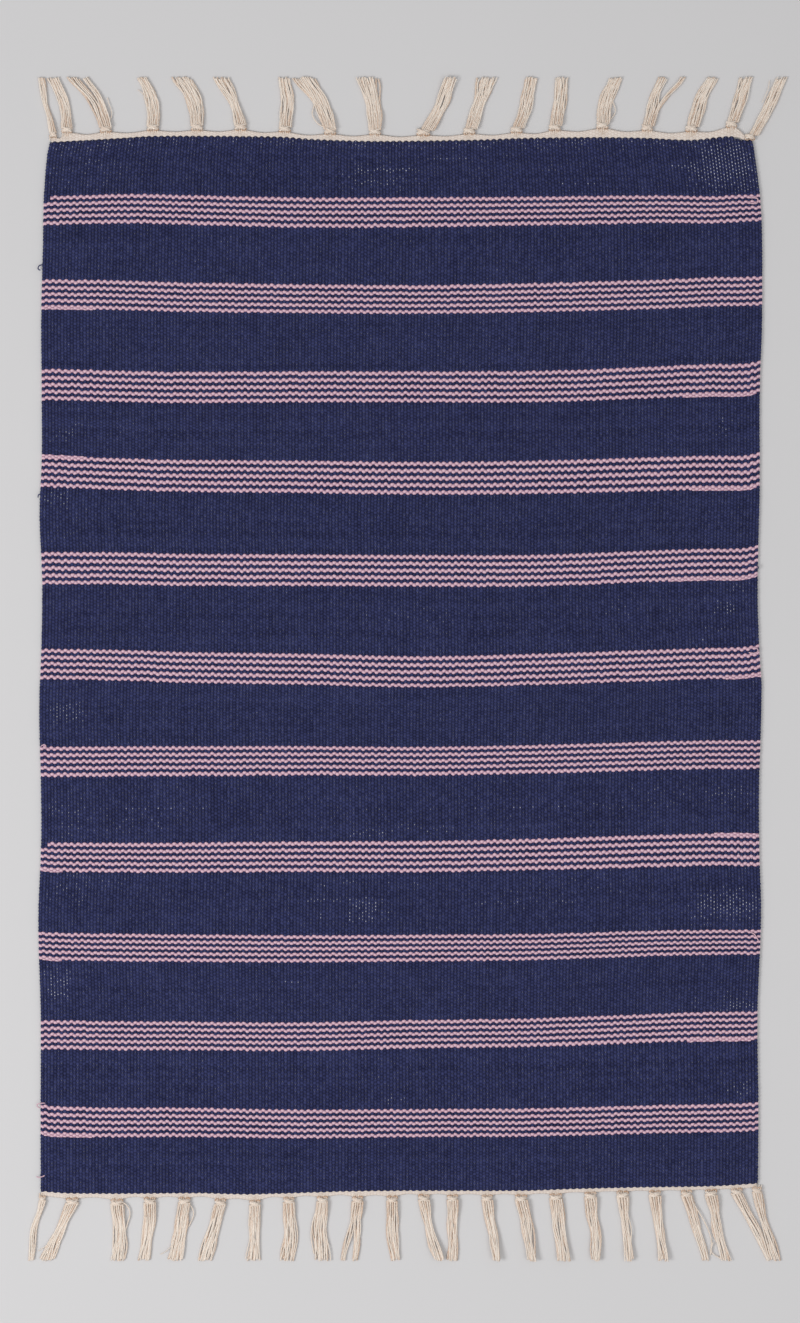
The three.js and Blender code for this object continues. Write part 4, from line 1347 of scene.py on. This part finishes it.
def knot_gather(paths, fringe, tassel, reach, rng):
    """The warps that rise out of the heading and run together into the knot, and two turns at its foot."""
    x, knot, side = tassel.x, tassel.knot, fringe.side
    rise = knot_place(fringe, tassel)
    half = min(reach / 2, knot * GATHER_REACH)
    width = max(tassel.out - KNOT_DEPTH / 2, 2.0)
    for across in np.linspace(-1, 1, max(4, round(2 * half / GATHER_PITCH))):
        start_x = x + across * half
        edge = float(smooth(fringe.woven, start_x))
        first = np.array([start_x, side * (edge + width * rng.uniform(*GATHER_START))])
        last = np.array([x + across * knot * GATHER_TOP, side * (rise - 0.8)])
        path = np.column_stack([[first, (first + last) / 2, last], GATHER_LEVELS])
        paths.add(path, GATHER_SIZE, rng.uniform(*GATHER_TONE))
    for turn in TURN_PLACES:
        angles = np.linspace(0, math.pi, 7) + rng.uniform(*TURN_TILT)
        across = x + turn * knot + 0.3 * knot * np.cos(angles)
        run = side * (rise - KNOT_DEPTH / 2 + 0.9 - rng.uniform(*TURN_BOW) * np.sin(angles))
        z = 1.9 + 0.9 * np.sin(angles)
        # The turns are painted darkest, as shade at the knot's foot.
        paths.add(np.column_stack([across, run, z]), TURN_SIZE, rng.uniform(*TURN_TONE))


# Operators


class KILIM_OT_stage(bpy.types.Operator):
    """Sets the floor, the soft light and the camera straight above."""

    bl_idname = "kilim.stage"
    bl_label = "Stage"

    def execute(self, context):
        settings = context.scene.kilim_stage
        objects = context.scene.collection.objects
        half = settings.floor_size / 2
        mesh = bpy.data.meshes.new("floor")
        corners = [(-half, -half), (half, -half), (half, half), (-half, half)]
        mesh.from_pydata([(x, y, FLOOR_LEVEL * MM) for x, y in corners], [], [(0, 1, 2, 3)])
        material, sketch, shader = surface("floor")
        place = sketch.add("ShaderNodeTexCoord", get="Object")
        pale = shaded(settings.floor_colour, FLOOR_PALE)
        colour = sketch.mix(sketch.noise(place, 3.0, 3.0), pale, settings.floor_colour)
        sketch.feed(shader, {"Base Color": colour, "Roughness": 0.9})
        mesh.materials.append(material)
        floor = bpy.data.objects.new("floor", mesh)
        objects.link(floor)

        lights = [
            ("key_light", (-2.1, -0.75, 2.3), 1.2, settings.key_power),
            ("fill_light", (0.95, -0.7, 3.0), 2.4, settings.fill_power),
        ]
        for name, place, size, power in lights:
            light = bpy.data.lights.new(name, "AREA")
            light.size = size
            light.energy = power
            lamp = bpy.data.objects.new(name, light)
            lamp.location = place
            lamp.rotation_euler = (-Vector(place)).to_track_quat("-Z", "Y").to_euler()
            objects.link(lamp)
        world = bpy.data.worlds.new("soft_room")
        world.use_nodes = True
        back = world.node_tree.nodes["Background"].inputs
        back["Color"].default_value = (1.0, 1.0, 1.0, 1.0)
        back["Strength"].default_value = settings.room_light
        context.scene.world = world
        context.scene.view_settings.view_transform = "Standard"

        camera = bpy.data.cameras.new("above")
        camera.lens = settings.lens
        camera.sensor_fit = "VERTICAL"
        camera.sensor_height = SENSOR
        camera.clip_end = 50.0
        height = PHOTO_HEIGHT * PIXEL * settings.lens / SENSOR
        eye = bpy.data.objects.new("above", camera)
        eye.location = Vector((frame_shift(), PHOTO_RISE * PIXEL, height)) * MM
        objects.link(eye)
        context.scene.camera = eye
        return {"FINISHED"}


class KILIM_OT_cloth(bpy.types.Operator):
    """Weaves the navy body with its pink lines."""

    bl_idname = "kilim.cloth"
    bl_label = "Cloth"

    def execute(self, context):
        settings = context.scene.kilim_cloth
        grid, weave, thin = cloth_grid()
        grid[..., 0] += frame_shift()
        base = closed_sheet("rug_cloth", grid, 0.0, settings.thickness / MM, weave, {"thin": thin})
        values = {
            "Rib Height": settings.rib_height,
            "Unevenness": settings.unevenness,
            "Material": cloth_material(settings),
        }
        finish_piece(shape_with(base, woven_relief(), values), "woven_body", "rug_body")
        return {"FINISHED"}


class KILIM_OT_selvedges(bpy.types.Operator):
    """Turns the weft round the outer warps, with its few loose loops and ends."""

    bl_idname = "kilim.selvedges"
    bl_label = "Selvedges"

    def execute(self, context):
        settings = context.scene.kilim_cloth
        material = bpy.data.materials.get("kilim_weave")
        if material is None:
            raise RuntimeError("the selvedges need the cloth's material, so the cloth comes first")
        grid, weave, _ = cloth_grid()
        thick = settings.thickness / MM
        values = {"Half Size": tuple(half * MM for half in TURN_HALF), "Material": material}
        for side, column in (("left", 0), ("right", grid.shape[1] - 1)):
            base = selvedge_points(f"selvedge_{side}_weave", column, grid, weave, thick)
            piece = shape_with(base, selvedge_turns(), values)
            map_turns(piece.data)
            finish_piece(piece, "woven_body")
        for name, pink, light, dark in (
            ("pink_loops", True, settings.pink, shaded(settings.pink, PINK_LOOP)),
            ("navy_loops", False, settings.navy_light, settings.navy),
        ):
            paths = YarnPaths()
            for is_pink, places in LOOSE_WEFTS:
                if is_pink == pink:
                    level = np.full(len(places), thick + LOOSE_LEVEL)
                    level[[0, -1]] -= LOOSE_ENDS
                    paths.add(np.column_stack([places, level]), LOOSE_WIDTH, LOOSE_TONE)
            material = yarn_material(name, light, dark)
            finish_piece(yarn_piece(f"{name}_yarn", paths, material, context.scene.kilim_yarn), "woven_body")
        return {"FINISHED"}


class KILIM_OT_headings(bpy.types.Operator):
    """Weaves the cream heading at each end."""

    bl_idname = "kilim.headings"
    bl_label = "Headings"

    def execute(self, context):
        settings = context.scene.kilim_cloth
        relief = settings.heading_relief
        material = heading_material(settings)
        values = {"Rib Height": relief * HEADING_RIBS, "Float Height": relief, "Material": material}
        for fringe in FRINGES:
            grid, weave, near = heading_grid(fringe)
            grid[..., 0] += frame_shift()
            name = f"heading_{fringe.name}"
            high = (settings.heading_thickness - relief) / MM
            # The knot attribute carries the painted shade by the knots.
            base = closed_sheet(f"{name}_weave", grid, relief / MM, high, weave, {"knot": near})
            finish_piece(shape_with(base, woven_relief(), values), "heading_cotton", name)
        return {"FINISHED"}


class KILIM_OT_tassels(bpy.types.Operator):
    """Knots the warps and lays out the tassels."""

    bl_idname = "kilim.tassels"
    bl_label = "Tassels"

    def execute(self, context):
        settings = context.scene.kilim_yarn
        material = yarn_material("tassel_cotton", settings.light, settings.dark)
        for fringe in FRINGES:
            places = [tassel.x for tassel in fringe.tassels]
            for i, tassel in enumerate(fringe.tassels):
                name = f"tassel_{fringe.name}_{i + 1:02d}"
                rng = np.random.default_rng(1000 * (fringe.side + 2) + i)
                reach = (places[min(i + 1, len(places) - 1)] - places[max(i - 1, 0)]) / 2
                paths = YarnPaths()
                tassel_yarns(paths, fringe, tassel, name, settings, rng)
                knot_wraps(paths, fringe, tassel, settings, rng)
                knot_gather(paths, fringe, tassel, reach, rng)
                finish_piece(yarn_piece(f"{name}_yarn", paths, material, settings), "tassel_yarn", name)
        return {"FINISHED"}


class KILIM_PT_panel(bpy.types.Panel):
    """Shows the kilim's settings and the buttons that build its pieces."""

    bl_label = "Kilim"
    bl_idname = "KILIM_PT_panel"
    bl_space_type = "VIEW_3D"
    bl_region_type = "UI"
    bl_category = "Kilim"

    def draw(self, context):
        layout = self.layout
        for key, group in SETTINGS:
            box = layout.box()
            for prop in group.__annotations__:
                box.prop(getattr(context.scene, key), prop)
        for operator in OPERATORS:
            layout.operator(operator.bl_idname)


OPERATORS = (KILIM_OT_stage, KILIM_OT_cloth, KILIM_OT_selvedges, KILIM_OT_headings, KILIM_OT_tassels)
SETTINGS = (
    ("kilim_cloth", KilimClothSettings),
    ("kilim_yarn", KilimYarnSettings),
    ("kilim_stage", KilimStageSettings),
)


def register():
    for key, group in SETTINGS:
        bpy.utils.register_class(group)
        setattr(bpy.types.Scene, key, PointerProperty(type=group))
    for made in (*OPERATORS, KILIM_PT_panel):
        bpy.utils.register_class(made)


def unregister():
    for made in (KILIM_PT_panel, *reversed(OPERATORS)):
        bpy.utils.unregister_class(made)
    for key, group in reversed(SETTINGS):
        delattr(bpy.types.Scene, key)
        bpy.utils.unregister_class(group)


def main():
    """Builds the whole rug and its stage."""
    register()
    bpy.ops.kilim.stage()
    bpy.ops.kilim.cloth()
    bpy.ops.kilim.selvedges()
    bpy.ops.kilim.headings()
    bpy.ops.kilim.tassels()


if __name__ == "__main__":
    main()
